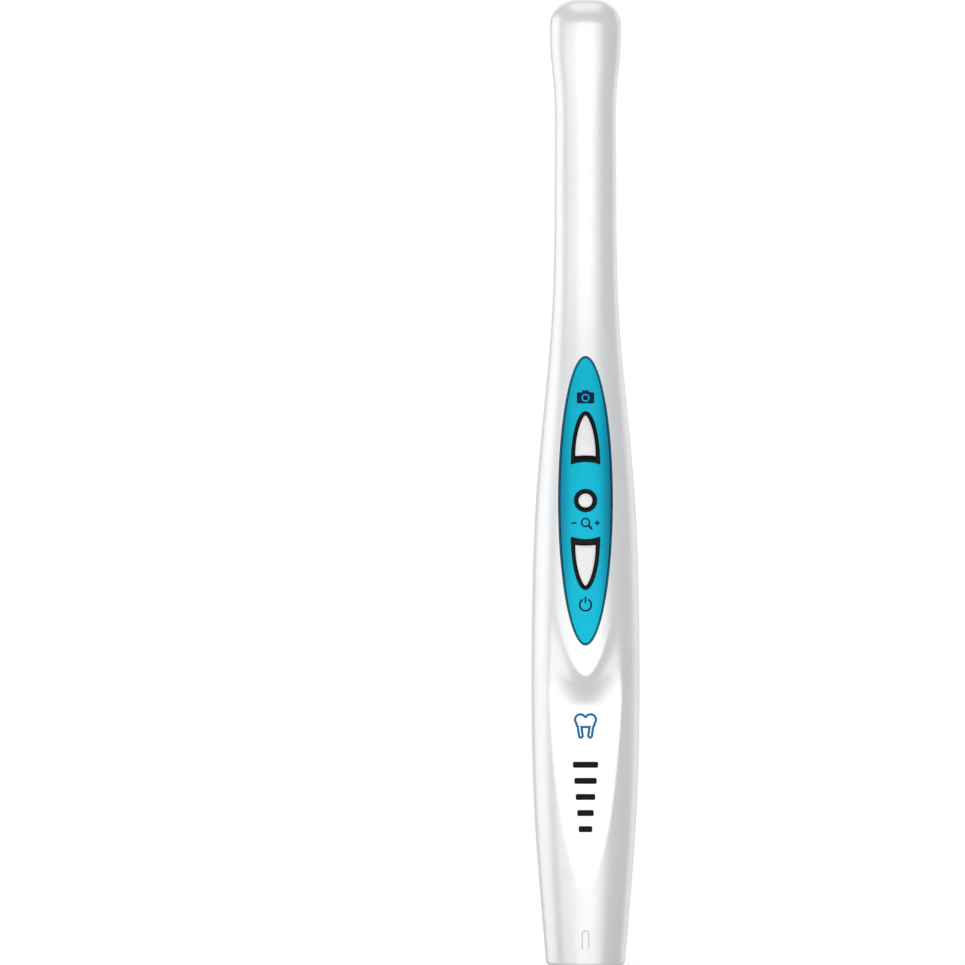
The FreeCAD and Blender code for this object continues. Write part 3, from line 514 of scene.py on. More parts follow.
def arch_outline(up, half, base, high, bite, pointed):
    """An arch with a hollow foot, up or down from the panel's middle. pointed is 0.5 for a plain ellipse."""
    climb = np.linspace(0, 1, FLANK_POINTS)
    flank = half * (1 - climb**2) ** pointed
    across = np.linspace(-half, half, FOOT_POINTS)[1:-1]
    foot = bite * (1 - (across / half) ** 2)
    x = np.concatenate([flank, -flank[::-1], across])
    h = np.concatenate([climb * high, climb[::-1] * high, foot])
    corners = np.stack([x, PANEL_Z + up * (base + h)], axis=-1)
    outline = even_outline(corners, ARCH_POINTS, ARCH_SOFTENING)
    return outline if up > 0 else outline[::-1]


def grown(outline, amount):
    """The outline moved outward by an amount."""
    along = np.roll(outline, -1, axis=0) - np.roll(outline, 1, axis=0)
    out = np.stack([along[:, 1], -along[:, 0]], axis=-1)
    return outline + amount * out / np.hypot(*out.T)[:, None]


# The sizes of a crown's rings, as shares of its rim
CROWN_SHARES = (0.85, 0.65, 0.45, 0.25, 0.05)


def ring_solid(name, levels, side, crown=None):
    """Rings of (outline, height above the casing). With a crown the last ring is filled by a dome that high;
    without one the rings close on themselves."""
    levels = list(levels)
    if crown is not None:
        rim, top = levels[-1]
        centre = rim.mean(axis=0)
        for share in CROWN_SHARES:
            levels.append((centre + (rim - centre) * share, top + crown * (1 - share**2)))
    points = []
    for ring, height in levels:
        x, z = ring.T
        points.append(np.stack([x, side_y(x, z, side) + side * height, z], axis=-1))
    count = len(points[0])
    faces = grid_faces(len(points), count, closed=True)
    last = (len(points) - 1) * count
    if crown is None:
        faces += closing_faces(count, last)
    else:
        faces += [list(range(last, last + count)), list(range(count))[::-1]]
    return weld(make_mesh(name, np.concatenate(points), faces), sharp=40)


# Each key's own outline and its rim's outer one. The arches are half width, foot, height, hollow, pointed
CAP_ARCH = (2.11, 9.1, 8.45, 0.12, 0.7)
RIM_ARCH = (3.04, 7.35, 11.05, 0.56, 0.5)
ZOOM_CAP_R, ZOOM_RIM_R = 1.45, 2.4
KEYS = {
    "capture": (arch_outline(1, *CAP_ARCH), arch_outline(1, *RIM_ARCH)),
    "zoom": (circle_outline(PANEL_Z, ZOOM_CAP_R), circle_outline(PANEL_Z, ZOOM_RIM_R)),
    "power": (arch_outline(-1, *CAP_ARCH), arch_outline(-1, *RIM_ARCH)),
}


def line_distance(x, z, start, end):
    """Distance from a straight line between two points."""
    (ax, az), (bx, bz) = start, end
    ex, ez = bx - ax, bz - az
    share = np.clip(((x - ax) * ex + (z - az) * ez) / (ex * ex + ez * ez), 0, 1)
    return np.hypot(x - ax - share * ex, z - az - share * ez)


def outline_distance(x, z, outline):
    """Distance outside a closed outline, negative inside."""
    nearest = np.full(x.shape, np.inf)
    inside = np.zeros(x.shape, bool)
    for (ax, az), (bx, bz) in zip(outline, np.roll(outline, -1, axis=0)):
        nearest = np.minimum(nearest, line_distance(x, z, (ax, az), (bx, bz)))
        crosses = (az > z) != (bz > z)
        inside ^= crosses & (x < ax + (z - az) * (bx - ax) / (bz - az or TINY))
    return np.where(inside, -nearest, nearest)


# The panel's gap to the casing, and how far it reaches in under the keys' rims
PANEL_GAP, PANEL_UNDER_RIM, PANEL_SINK = 0.2, 0.3, 0.08


def panel_keep(x, z):
    levels = [-oval_distance(x, z, PANEL_Z, PANEL_HALF) - PANEL_GAP]
    levels += [outline_distance(x, z, outer[::3]) + PANEL_UNDER_RIM for _, outer in KEYS.values()]
    return np.minimum.reduce(levels)


panel = oval_inlay("key_panel", KEY_SIDE, PANEL_Z, PANEL_HALF, panel_keep, PANEL_SINK, 0.8)

# Levels of the caps and rims from their outside in: growth of the outline, and height above the casing
CAP_EDGE = [(0, -1.5), (0, 0.1), (-0.03, 0.22), (-0.1, 0.32), (-0.22, 0.38)]
RIM_OUTSIDE = [(0, -0.75), (0, -0.02), (-0.06, 0.1), (-0.16, 0.17), (-0.3, 0.19)]
RIM_INSIDE = [(0.3, 0.17), (0.2, 0.08), (0.12, -0.04), (0.1, -0.2), (0.1, -0.75)]
caps, rims = {}, {}
for word, (inner, outer) in KEYS.items():
    cap_levels = [(grown(inner, growth), height) for growth, height in CAP_EDGE]
    rim_levels = [(grown(outer, growth), height) for growth, height in RIM_OUTSIDE]
    rim_levels += [(grown(inner, growth), height) for growth, height in RIM_INSIDE]
    caps[word] = ring_solid(f"{word}_cap", cap_levels, KEY_SIDE, crown=0.1)
    rims[word] = ring_solid(f"{word}_rim", rim_levels, KEY_SIDE)

# The round button's levels: radius, and height above the casing
SNAP_EDGE = [(2.84, -1.4), (2.84, -0.16), (2.8, -0.05), (2.7, 0.02)]
snap_levels = [(circle_outline(SNAP_Z, r), height) for r, height in SNAP_EDGE]
snap_cap = ring_solid("snap_cap", snap_levels, LENS_SIDE, crown=0.12)

PLATE_GAP, PLATE_SINK = 0.15, 0.12


def plate_keep(x, z):
    return -oval_distance(x, z, PLATE_Z, PLATE_HALF) - PLATE_GAP


plate = oval_inlay("name_plate_face", LENS_SIDE, PLATE_Z, PLATE_HALF, plate_keep, PLATE_SINK, 0.45)


MARK_DEPTH, MARK_OVERLAP = 0.2, 0.05


def mark_floor_keep(x, z):
    """The index mark's floor reaches a little under its walls."""
    return MARK_OVERLAP - capsule_distance(x, z, *MARK)


mark_sheet = {"z_span": (3.0, 8.4), "half_x": 1.0, "step": 0.1, "lift": -MARK_DEPTH, "steps": [(0, 0.05)]}
mark_floor = inlay("index_mark_floor", KEY_SIDE, keep=mark_floor_keep, **mark_sheet)

# Head

edge_turn = np.radians(np.linspace(0, 90, 7))
collar_profile = [(BOSS_CUT - 0.02, BOSS_R)]
collar_profile += [
    (BOSS_FACE - BOSS_EDGE_R * (1 - math.sin(t)), BOSS_R - BOSS_EDGE_R * (1 - math.cos(t))) for t in edge_turn
]
collar_profile += [(7.0, 6.68), (6.97, 6.63), (5.8, 6.62), (5.8, 6.15), (1.0, 6.15), (1.0, 6.6)]
collar = lathe("lens_collar", collar_profile)
glass_front = [(7.05, 6.54), (7.5, 5.95), (7.6, 5.75), (7.75, 4.4), (7.82, 2.4), (7.84, 0)]
glass = lathe("cover_glass", [(6.12, 0), (6.12, 6.54), (6.95, 6.58)] + glass_front, sharp=12)
glass_bevel = lathe("cover_glass_bevel", [(7.07, 6.55), (7.52, 5.96), (7.5, 5.94), (7.05, 6.53)])
funnel = [(5.25, 2.36), (5.25, 2.2), (4.95, 2.12), (4.95, 1.95), (4.7, 1.85), (4.7, 1.68), (4.35, 1.5)]
barrel_outside = [(-0.9, 2.75), (5.3, 2.75), (5.4, 2.66), (5.4, 2.42)]
barrel = lathe("camera_barrel", barrel_outside + funnel + [(4.1, 1.45), (-0.9, 1.45)], sharp=25)
lining = [(y + 0.02, r - 0.01) for y, r in funnel] + [(4.3, 1.5), (4.3, 2.3)]
barrel_lining = lathe("barrel_lining", lining, sharp=25)
dome_turn = np.linspace(0, 1, 9)
front_dome = [(3.6 + 0.75 * (1 - t * t), 1.43 * t) for t in dome_turn[::-1]]
front_lens = lathe("front_element", [(3.1, 0), (3.1, 1.43)] + front_dome)
iris = lathe("lens_iris", [(2.6, 0.36), (2.95, 0.36), (2.9, 1.44), (2.6, 1.44)])

LAMP_PITCH_R, LAMP_ANGLES = 4.6, range(0, 360, 60)
CORNER_POINTS = 5


def rounded_rectangle(half_long, half_short, r):
    """Corner arcs of a rectangle, anticlockwise from its lower right."""
    points = []
    for k, (sx, sy) in enumerate(((1, -1), (1, 1), (-1, 1), (-1, -1))):
        for turn in np.radians(np.linspace(90 * k - 90, 90 * k, CORNER_POINTS)):
            u, v = sx * (half_long - r) + r * math.cos(turn), sy * (half_short - r) + r * math.sin(turn)
            points.append((u, v))
    return np.array(points)


def lamp_blocks(name, levels, closed):
    """A block for each lamp, lofted through levels of (half length, half width, corner, y). Closed ones have
    both ends filled; the others join their last level to their first."""
    points, faces = [], []
    for angle in np.radians(list(LAMP_ANGLES)):
        radial = np.array([math.cos(angle), 0, math.sin(angle)])
        tangent = np.array([-math.sin(angle), 0, math.cos(angle)])
        start, count = len(points), 4 * CORNER_POINTS
        for half_long, half_short, corner, y in levels:
            for u, v in rounded_rectangle(half_long, half_short, corner):
                points.append(np.array([0, y, LENS_Z]) + tangent * u + radial * (LAMP_PITCH_R + v))
        faces += grid_faces(len(levels), count, closed=True, start=start)
        last = start + (len(levels) - 1) * count
        if closed:
            faces += [list(range(start, start + count))[::-1], list(range(last, last + count))]
        else:
            faces += closing_faces(count, last, start)
    return weld(make_mesh(name, points, faces), sharp=30)


lamp_cases = lamp_blocks(
    "lamp_cases",
    [
        (1.5, 0.93, 0.12, 4.9),
        (1.5, 0.93, 0.12, 5.42),
        (1.46, 0.89, 0.1, 5.48),
        (1.38, 0.82, 0.1, 5.48),
        (1.32, 0.77, 0.12, 5.4),
        (1.32, 0.77, 0.12, 4.9),
    ],
    closed=False,
)
phosphor = lamp_blocks(
    "lamp_phosphor",
    [(1.34, 0.79, 0.12, 5.0), (1.34, 0.79, 0.12, 5.36), (1.1, 0.6, 0.12, 5.44), (0.4, 0.2, 0.1, 5.47)],
    closed=True,
)
board_profile = [(4.2, 2.95), (4.88, 2.95), (4.9, 2.98), (4.9, 5.86), (4.88, 5.9), (4.2, 5.9)]
board_ring = lathe("lamp_ring_board", board_profile)
collar_ring = [(4.7, 2.78), (5.0, 2.78), (5.06, 2.84), (5.06, 3.02), (5.0, 3.08), (4.7, 3.08)]
barrel_collar = lathe("barrel_collar", collar_ring)

# Printed marks and painted shade lines: distances are negative on the ink


def bar(x, z, start, end, r):
    return line_distance(x, z, start, end) - r


def hoop(x, z, r, half_stroke):
    return np.abs(np.hypot(x, z) - r) - half_stroke


def block(x, z, half_x, half_z, r):
    u, v = np.abs(x) - half_x + r, np.abs(z) - half_z + r
    return np.hypot(np.maximum(u, 0), np.maximum(v, 0)) + np.minimum(np.maximum(u, v), 0) - r


def camera_mark(x, z):
    case = np.minimum(block(x, z, 1.8, 1.15, 0.35), block(x, z - 1.2, 0.7, 0.35, 0.15))
    return np.maximum(case, -hoop(x, z, 0.68, 0.13))


def zoom_mark(x, z):
    glass_ring = hoop(x, z - 0.2, 0.82, 0.17)
    handle = bar(x, z, (0.66, -0.46), (1.25, -1.05), 0.24)
    minus = bar(x, z, (-2.8, 0.1), (-2.0, 0.1), 0.17)
    plus = np.minimum(bar(x, z, (2.0, 0.1), (2.8, 0.1), 0.17), bar(x, z, (2.4, -0.3), (2.4, 0.5), 0.17))
    return np.minimum.reduce([glass_ring, handle, minus, plus])


def power_mark(x, z):
    arc = np.maximum(hoop(x, z, 1.2, 0.19), 0.5 - np.maximum(np.abs(x), 0.85 - z))
    return np.minimum(arc, bar(x, z, (0, 0.5), (0, 1.55), 0.19))


def tooth_mark(x, z):
    """A tooth's outline: a wide crown with a notch, over two roots."""
    crown = np.minimum(np.hypot((np.abs(x) - 1.05) / 1.0, z - 0.75) - 1.35, block(x, z - 0.3, 2.1, 1.3, 0.8))
    roots = bar(np.abs(x), z, (1.25, -0.4), (0.95, -2.55), 0.62)
    fork = bar(x, z, (0, -3.2), (0, -1.35), 0.32)
    solid = np.maximum(np.minimum(crown, roots), -fork)
    stroke = 0.5
    return np.maximum(solid, -(solid + stroke))


def scale_mark(x, z):
    """Five bars, each shorter than the one above it."""
    rungs = [block(x, z - 6.6 + 3.3 * k, 2.6 - 0.3 * k, 0.62, 0.3) for k in range(5)]
    return np.minimum.reduce(rungs)


def dots_mark(x, z):
    """Four short bars."""
    return np.minimum.reduce([block(x, z - spot, 1.3, 0.55, 0.3) for spot in (-4.0, -1.4, 1.2, 3.8)])


def panel_gap_shade_mark(x, z):
    """A thin dark line just inside the key panel's outline: painted shade, standing for the dark gap round
    the panel.
    """
    return np.abs(oval_distance(x, z, 0, PANEL_HALF) + 0.33) - 0.11


def index_mark(x, z):
    """A grey line round the index mark, open at its foot: painted shadow, standing for the shade of the
    mark's groove.
    """
    edge = capsule_distance(x, z + INDEX_Z, *MARK)
    return np.maximum(np.abs(edge - 0.06) - 0.055, -1.6 - z)


def scooped_y(x, z):
    """Y of the key side's surface, scoop and island included."""
    origins = np.stack([x, np.zeros_like(x), z], axis=-1)
    rays = np.zeros_like(origins)
    rays[..., 1] = KEY_SIDE
    return cast(wand_distance, origins, rays)[..., 1]


INK_LIFT = 0.015


def printed_or_painted_shade(name, mark, centre_z, half_x, half_z, surface_y, side=KEY_SIDE, step=0.07):
    """A printed mark or a painted shade line: a thin film just above a surface."""
    x, z = np.meshgrid(
        np.linspace(-half_x, half_x, int(2 * half_x / step) + 1),
        np.linspace(-half_z, half_z, int(2 * half_z / step) + 1),
    )
    y = surface_y(x, z + centre_z)
    points = np.stack([x, y + side * INK_LIFT, z + centre_z], axis=-1)
    along_x, along_z = np.gradient(points, axis=1), np.gradient(points, axis=0)
    normals = np.cross(along_z, along_x) * side
    normals /= np.linalg.norm(normals, axis=-1, keepdims=True)
    points, normals, faces, _ = clipped_sheet(points, normals, -mark(x, z), flip=side == LENS_SIDE)
    return make_mesh(name, *used_only(points, normals, faces))


def panel_y(x, z):
    return side_y(x, z, KEY_SIDE) - KEY_SIDE * PANEL_SINK


def plate_y(x, z):
    return side_y(x, z, LENS_SIDE) - LENS_SIDE * PLATE_SINK


# Each mark's height on the wand comes before half the width and half the height of the sheet it's cut from
panel_marks_and_gap_shade = [
    printed_or_painted_shade("camera_symbol", camera_mark, 117.4, 2.2, 1.8, panel_y),
    printed_or_painted_shade("zoom_symbol", zoom_mark, 91.6, 3.2, 1.5, panel_y),
    printed_or_painted_shade("power_symbol", power_mark, 74.9, 1.6, 2.0, panel_y),
    # Painted shade: the dark line along the panel's gap
    printed_or_painted_shade("panel_gap_shade_line", panel_gap_shade_mark, PANEL_Z, *PANEL_HALF, panel_y, step=0.1),
]
tooth = printed_or_painted_shade("tooth_symbol", tooth_mark, 50.5, 3.2, 3.8, scooped_y)
scale = printed_or_painted_shade("scale_symbol", scale_mark, 35.4, 3.0, 8.0, scooped_y)
# Painted shadow: a grey line round the index mark's groove
index_shadow_line = printed_or_painted_shade("index_shadow_line", index_mark, INDEX_Z, 1.0, 2.4, scooped_y, step=0.04)
plate_tooth = printed_or_painted_shade("plate_tooth_symbol", tooth_mark, 58.2, 3.2, 3.8, plate_y, LENS_SIDE)
plate_scale = printed_or_painted_shade("plate_scale_symbol", scale_mark, 44.8, 3.0, 8.0, plate_y, LENS_SIDE)
plate_dots = printed_or_painted_shade("plate_dots_symbol", dots_mark, 31.4, 1.6, 4.8, plate_y, LENS_SIDE)

# Materials


def set_inputs(node, values):
    for socket, setting in values.items():
        node.inputs[socket].default_value = setting


class Graph:
    """A node tree under construction."""

    def __init__(self, tree):
        self.tree = tree

    def node(self, kind, inputs=None, **settings):
        made = self.tree.nodes.new(kind)
        for key, setting in settings.items():
            setattr(made, key, setting)
        set_inputs(made, inputs or {})
        return made

    def link(self, output, target):
        self.tree.links.new(output, target)


class Finish(Graph):
    """A Principled material that is built up from noise layers in the part's own coordinates."""

    def __init__(self, name, rough, metallic=0.0, coat=0.0, coat_rough=0.05, specular=0.5, scatter=0.0):
        self.material = bpy.data.materials.new(name)
        self.material.use_nodes = True
        super().__init__(self.material.node_tree)
        self.shader = self.tree.nodes["Principled BSDF"]
        base = {"Metallic": metallic, "Coat Weight": coat, "Coat Roughness": coat_rough}
        set_inputs(self.shader, base | {"Specular IOR Level": specular, "Roughness": rough})
        if scatter:
            glow = {"Subsurface Radius": (1.0, 0.95, 0.9), "Subsurface Scale": 0.0012}
            set_inputs(self.shader, glow | {"Subsurface Weight": scatter})
        self.rough = rough
        self.place = self.node("ShaderNodeTexCoord").outputs["Object"]

    def stretched(self, scale):
        mapping = self.node("ShaderNodeMapping", {"Scale": scale})
        self.link(self.place, mapping.inputs["Vector"])
        return mapping.outputs["Vector"]

    def noise(self, scale, detail=3.0, stretch=(1, 1, 1)):
        texture = self.node("ShaderNodeTexNoise", {"Scale": scale, "Detail": detail})
        self.link(self.stretched(stretch), texture.inputs["Vector"])
        return texture.outputs["Fac"]

    def cells(self, scale):
        texture = self.node("ShaderNodeTexVoronoi", {"Scale": scale})
        self.link(self.place, texture.inputs["Vector"])
        return texture.outputs["Distance"]

    def ranged(self, source, low, high, start=0.3, end=0.7):
        spans = {"From Min": start, "From Max": end, "To Min": low, "To Max": high}
        limits = self.node("ShaderNodeMapRange", spans)
        self.link(source, limits.inputs["Value"])
        return limits.outputs["Result"]

    def colour(self, source, dark, light, start=0.3, end=0.7):
        mix = self.node("ShaderNodeMix", data_type="RGBA")
        self.link(self.ranged(source, 0, 1, start, end), mix.inputs["Factor"])
        mix.inputs["A"].default_value = (*dark, 1)
        mix.inputs["B"].default_value = (*light, 1)
        self.link(mix.outputs["Result"], self.shader.inputs["Base Color"])

    def vary_rough(self, source, amount):
        varied = self.ranged(source, self.rough - amount, self.rough + amount)
        self.link(varied, self.shader.inputs["Roughness"])

    def bump(self, source, depth, strength=1.0):
        bump = self.node("ShaderNodeBump", {"Strength": strength, "Distance": depth * MM})
        self.link(source, bump.inputs["Height"])
        self.link(bump.outputs["Normal"], self.shader.inputs["Normal"])


def plastic(name, dark, light, rough, grain=1400, depth=0.004, **more):
    finish = Finish(name, rough, **more)
    finish.colour(finish.noise(70, 4), dark, light)
    finish.vary_rough(finish.noise(420, 4), 0.04)
    finish.bump(finish.noise(grain, 3), depth)
    return finish.material


def film_with_painted_side_shade(name, middle, edge):
    """A printed metallic film whose colour is lighter along the middle of the key panel than at its sides;
    that difference is painted shade, where the panel curves away.
    """
    finish = Finish(name, 0.42, metallic=0.5, specular=0.2)
    reach = finish.node("ShaderNodeVectorMath", operation="LENGTH")
    finish.link(finish.stretched((1 / (PANEL_HALF[0] * MM), 0, 0)), reach.inputs[0])
    # Painted shade: the colour darkens with distance from the panel's middle line
    finish.colour(reach.outputs["Value"], middle, edge, 0.5, 0.95)
    finish.vary_rough(finish.noise(1500, 2), 0.04)
    finish.bump(finish.noise(700, 2), 0.0005)
    return finish.material


def metal(name, dark, light, rough, stretch=(1, 1, 12)):
    finish = Finish(name, rough, metallic=1.0)
    finish.colour(finish.noise(900, 3, stretch), dark, light)
    finish.vary_rough(finish.noise(2500, 3, stretch), 0.08)
    finish.bump(finish.noise(3000, 2, stretch), 0.002)
    return finish.material


def phosphor_gel(name):
    finish = Finish(name, 0.32, coat=0.6, scatter=0.15)
    grains = finish.cells(3200)
    finish.colour(grains, (0.92, 0.84, 0.04), (0.26, 0.23, 0.01), 0.15, 0.7)
    finish.bump(grains, 0.02, 0.6)
    return finish.material


def solder_mask(name, dark, light):
    """Board lacquer over copper tracks, which show as slightly raised, lighter lines."""
    finish = Finish(name, 0.3, specular=0.15)
    lacquer = {"Color1": (0, 0, 0, 1), "Color2": (0.15, 0.15, 0.15, 1)}
    lines = {"Scale": 420, "Mortar Size": 0.09, "Mortar": (1, 1, 1, 1)}
    tracks = finish.node("ShaderNodeTexBrick", lacquer | lines)
    turned = finish.node("ShaderNodeMapping", {"Rotation": (math.radians(90), 0, 0)})
    finish.link(finish.place, turned.inputs["Vector"])
    finish.link(turned.outputs["Vector"], tracks.inputs["Vector"])
    finish.colour(tracks.outputs["Color"], dark, light, 0, 1)
    finish.bump(tracks.outputs["Color"], 0.015)
    return finish.material


SMUDGE, PAINTED_REFLECTION_FADE = 0.05, 1.5


def pane(name, tint, index=1.12, gloss_rough=0.02, painted_reflection_from=None):
    """Thin coated glass: see-through face on, mirror-like at a glance, with faint smudges. A higher
    index mirrors more. painted_reflection_from paints the reflection on by position: it leaves the mirroring
    to the parts further than that to either side."""
    made = bpy.data.materials.new(name)
    made.use_nodes = True
    graph = Graph(made.node_tree)
    graph.tree.nodes.remove(graph.tree.nodes["Principled BSDF"])
    clear = graph.node("ShaderNodeBsdfTransparent", {"Color": (*tint, 1)})
    gloss = graph.node("ShaderNodeBsdfGlossy")
    place = graph.node("ShaderNodeTexCoord").outputs["Object"]
    smears = graph.node("ShaderNodeTexNoise", {"Scale": 300})
    graph.link(place, smears.inputs["Vector"])
    rough = graph.node("ShaderNodeMapRange", {"To Min": gloss_rough, "To Max": gloss_rough + SMUDGE})
    graph.link(smears.outputs["Fac"], rough.inputs["Value"])
    graph.link(rough.outputs["Result"], gloss.inputs["Roughness"])
    mirrored = graph.node("ShaderNodeFresnel", {"IOR": index}).outputs["Fac"]
    mix = graph.node("ShaderNodeMixShader")
    # Painted reflection: the mirroring fades out near the middle by position and is left only to the sides
    if painted_reflection_from is not None:
        offset = graph.node("ShaderNodeSeparateXYZ")
        graph.link(place, offset.inputs["Vector"])
        far = graph.node("ShaderNodeMath", operation="ABSOLUTE")
        graph.link(offset.outputs["X"], far.inputs[0])
        span = {"From Min": painted_reflection_from * MM, "From Max": (painted_reflection_from + PAINTED_REFLECTION_FADE) * MM}
        fade = graph.node("ShaderNodeMapRange", span)
        graph.link(far.outputs["Value"], fade.inputs["Value"])
        share = graph.node("ShaderNodeMath", operation="MULTIPLY")
        graph.link(mirrored, share.inputs[0])
        graph.link(fade.outputs["Result"], share.inputs[1])
        mirrored = share.outputs["Value"]
    graph.link(mirrored, mix.inputs["Fac"])
    graph.link(clear.outputs["BSDF"], mix.inputs[1])
    graph.link(gloss.outputs["BSDF"], mix.inputs[2])
    graph.link(mix.outputs["Shader"], graph.tree.nodes["Material Output"].inputs["Surface"])
    return made


PEARL = {"rough": 0.34, "grain": 1800, "depth": 0.0008, "metallic": 0.5, "coat": 0.2, "coat_rough": 0.14}
KEY = {"rough": 0.36, "grain": 2600, "depth": 0.001, "metallic": 0.15}
PLATE = {"rough": 0.3, "grain": 1800, "depth": 0.0004, "metallic": 0.5}
BEZEL = {"rough": 0.2, "grain": 2600, "depth": 0.0005, "specular": 0.12}
LENS_BARREL = {"rough": 0.34, "grain": 3500, "depth": 0.003, "specular": 0.15}
INK = {"rough": 0.5, "grain": 3500, "depth": 0.001, "specular": 0.1}
LOOKS = {
    "casing": plastic("pearl_white", (0.88, 0.885, 0.89), (0.905, 0.905, 0.905), **PEARL),
    "key_cap": plastic("key_white", (0.87, 0.865, 0.86), (0.89, 0.885, 0.88), **KEY),
    "plate": plastic("plate_white", (0.84, 0.845, 0.85), (0.87, 0.87, 0.875), **PLATE),
    "base_plastic": plastic("base_grey", (0.42, 0.43, 0.44), (0.5, 0.5, 0.51), 0.42, 2600, 0.006),
    "socket_metal": metal("socket_nickel", (0.5, 0.5, 0.49), (0.72, 0.71, 0.69), 0.24),
    "insulator": plastic("insulator_black", (0.012, 0.012, 0.013), (0.03, 0.03, 0.032), 0.45, 3000, 0.006),
    "contact_metal": metal("contact_gold", (0.78, 0.50, 0.16), (0.95, 0.68, 0.28), 0.2),
    "lead_jacket": plastic("lead_jacket", (0.02, 0.02, 0.022), (0.05, 0.05, 0.052), 0.5),
    # The key panel's teal, with painted shade towards its sides
    "panel_film": film_with_painted_side_shade("panel_teal_painted_shade", (0.003, 0.47, 0.64), (0.004, 0.23, 0.37)),
    "bezel": plastic("bezel_black", (0.001, 0.002, 0.003), (0.003, 0.004, 0.006), **BEZEL),
    "window_glass": pane("window_clear", (0.95, 0.965, 0.97)),
    "lens_glass": pane("lens_coated", (0.55, 0.50, 0.62), 1.25),
    "seal": plastic("seal_rubber", (0.01, 0.01, 0.01), (0.025, 0.025, 0.025), 0.6, 3000, 0.01),
    "bracket": metal("bracket_anodised", (0.16, 0.165, 0.17), (0.24, 0.245, 0.25), 0.35, (1, 12, 1)),
    "lamp_board": solder_mask("lamp_board_mask", (0.010, 0.014, 0.018), (0.022, 0.030, 0.034)),
    "lamp_case": plastic("lamp_ceramic", (0.62, 0.61, 0.55), (0.78, 0.77, 0.72), 0.4, 3500, 0.004),
    "phosphor": phosphor_gel("lamp_phosphor_gel"),
    "lens_black": plastic("lens_black", (0.008, 0.008, 0.010), (0.018, 0.017, 0.020), **LENS_BARREL),
    "sensor": plastic("sensor_silicon", (0.02, 0.025, 0.05), (0.06, 0.05, 0.09), 0.15),
    "circuit_board": solder_mask("board_green", (0.006, 0.09, 0.035), (0.02, 0.20, 0.08)),
    "chip": plastic("chip_black", (0.012, 0.012, 0.013), (0.03, 0.03, 0.03), 0.5, 3500, 0.008),
    "ribbon": plastic("ribbon_amber", (0.40, 0.15, 0.02), (0.60, 0.27, 0.04), 0.3),
    "switch_housing": plastic("switch_black", (0.015, 0.015, 0.016), (0.035, 0.035, 0.036), 0.45),
    "plunger": plastic("plunger_ivory", (0.55, 0.54, 0.48), (0.65, 0.64, 0.58), 0.4),
    "screw_steel": metal("screw_zinc", (0.42, 0.43, 0.45), (0.62, 0.63, 0.65), 0.3),
}
# Navy for the printed symbols, and for the painted shade line along the panel's gap
NAVY_INK_AND_GAP_SHADE = plastic("navy_ink_and_gap_shade", (0.003, 0.014, 0.06), (0.005, 0.022, 0.08), **INK)
INK_BLUE = plastic("ink_blue", (0.012, 0.15, 0.36), (0.02, 0.19, 0.43), **INK)
INK_BLACK = plastic("ink_black", (0.004, 0.005, 0.007), (0.010, 0.011, 0.014), **INK)
# Grey for the painted shadow round the index mark's groove
GROOVE_SHADOW_GREY = plastic("groove_shadow_grey", (0.30, 0.30, 0.31), (0.38, 0.38, 0.39), **INK)
# The bevel's reflection is painted on by position, at its left and right only
BEVEL_PAINTED_REFLECTION = pane("window_bevel_painted_reflection", (0.95, 0.96, 0.97), 8.0, 0.08, painted_reflection_from=4.2)
IRIS_GREY = plastic("iris_grey", (0.035, 0.032, 0.037), (0.065, 0.058, 0.065), 0.4, specular=0.3)

for subpart in frame["record"]["subparts"]:
    cad_mesh = frame["nodes"][subpart["node"]].data
    cad_mesh.materials.clear()
    cad_mesh.materials.append(LOOKS[subpart["material_slot"]])


def dress(piece, body, slot, *nodes, look=None):
    """Gives a piece its body, its finish and the CAD nodes it stands for."""
    piece.data.materials.append(look or LOOKS[slot])
    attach(piece, body)
    if nodes:
        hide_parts(*nodes)


dress(lens_skin, "wand", "casing", "lens_side_shell")
dress(key_skin, "wand", "casing", "key_side_shell")
dress(collar, "wand", "casing")
dress(mark_floor, "wand", "casing")
dress(panel, "wand", "panel_film", "control_panel")
dress(plate, "wand", "plate", "name_plate")
dress(snap_cap, "snap", "key_cap", "snap_button")
for word in KEYS:
    dress(caps[word], word, "key_cap", f"{word}_key")
    dress(rims[word], "wand", "bezel", f"{word}_bezel")
dress(glass, "wand", "window_glass", "window")
dress(glass_bevel, "wand", "window_glass", look=BEVEL_PAINTED_REFLECTION)
dress(front_lens, "wand", "lens_glass", "front_lens")
dress(barrel, "wand", "lens_black", "lens_barrel")
dress(barrel_lining, "wand", "lens_black", look=IRIS_GREY)
dress(barrel_collar, "wand", "lens_black")
dress(iris, "wand", "lens_black", look=IRIS_GREY)
dress(board_ring, "wand", "lamp_board", "lamp_board")
dress(lamp_cases, "wand", "lamp_case", "lamp_frames")
dress(phosphor, "wand", "phosphor", "lamp_phosphors")
# The printed symbols, and the painted shade line along the panel's gap
for piece in panel_marks_and_gap_shade:
    dress(piece, "wand", "panel_film", look=NAVY_INK_AND_GAP_SHADE)
dress(tooth, "wand", "casing", look=INK_BLUE)
dress(scale, "wand", "casing", look=INK_BLACK)
dress(index_shadow_line, "wand", "casing", look=GROOVE_SHADOW_GREY)
dress(plate_tooth, "wand", "plate", look=INK_BLUE)
dress(plate_scale, "wand", "plate", look=INK_BLACK)
dress(plate_dots, "wand", "plate", look=INK_BLACK)

# Stage, light and camera, in metres

FLOOR_REACH, FLOOR_FADE_START = 0.2, 0.02
WAND_MIDDLE = 0.1


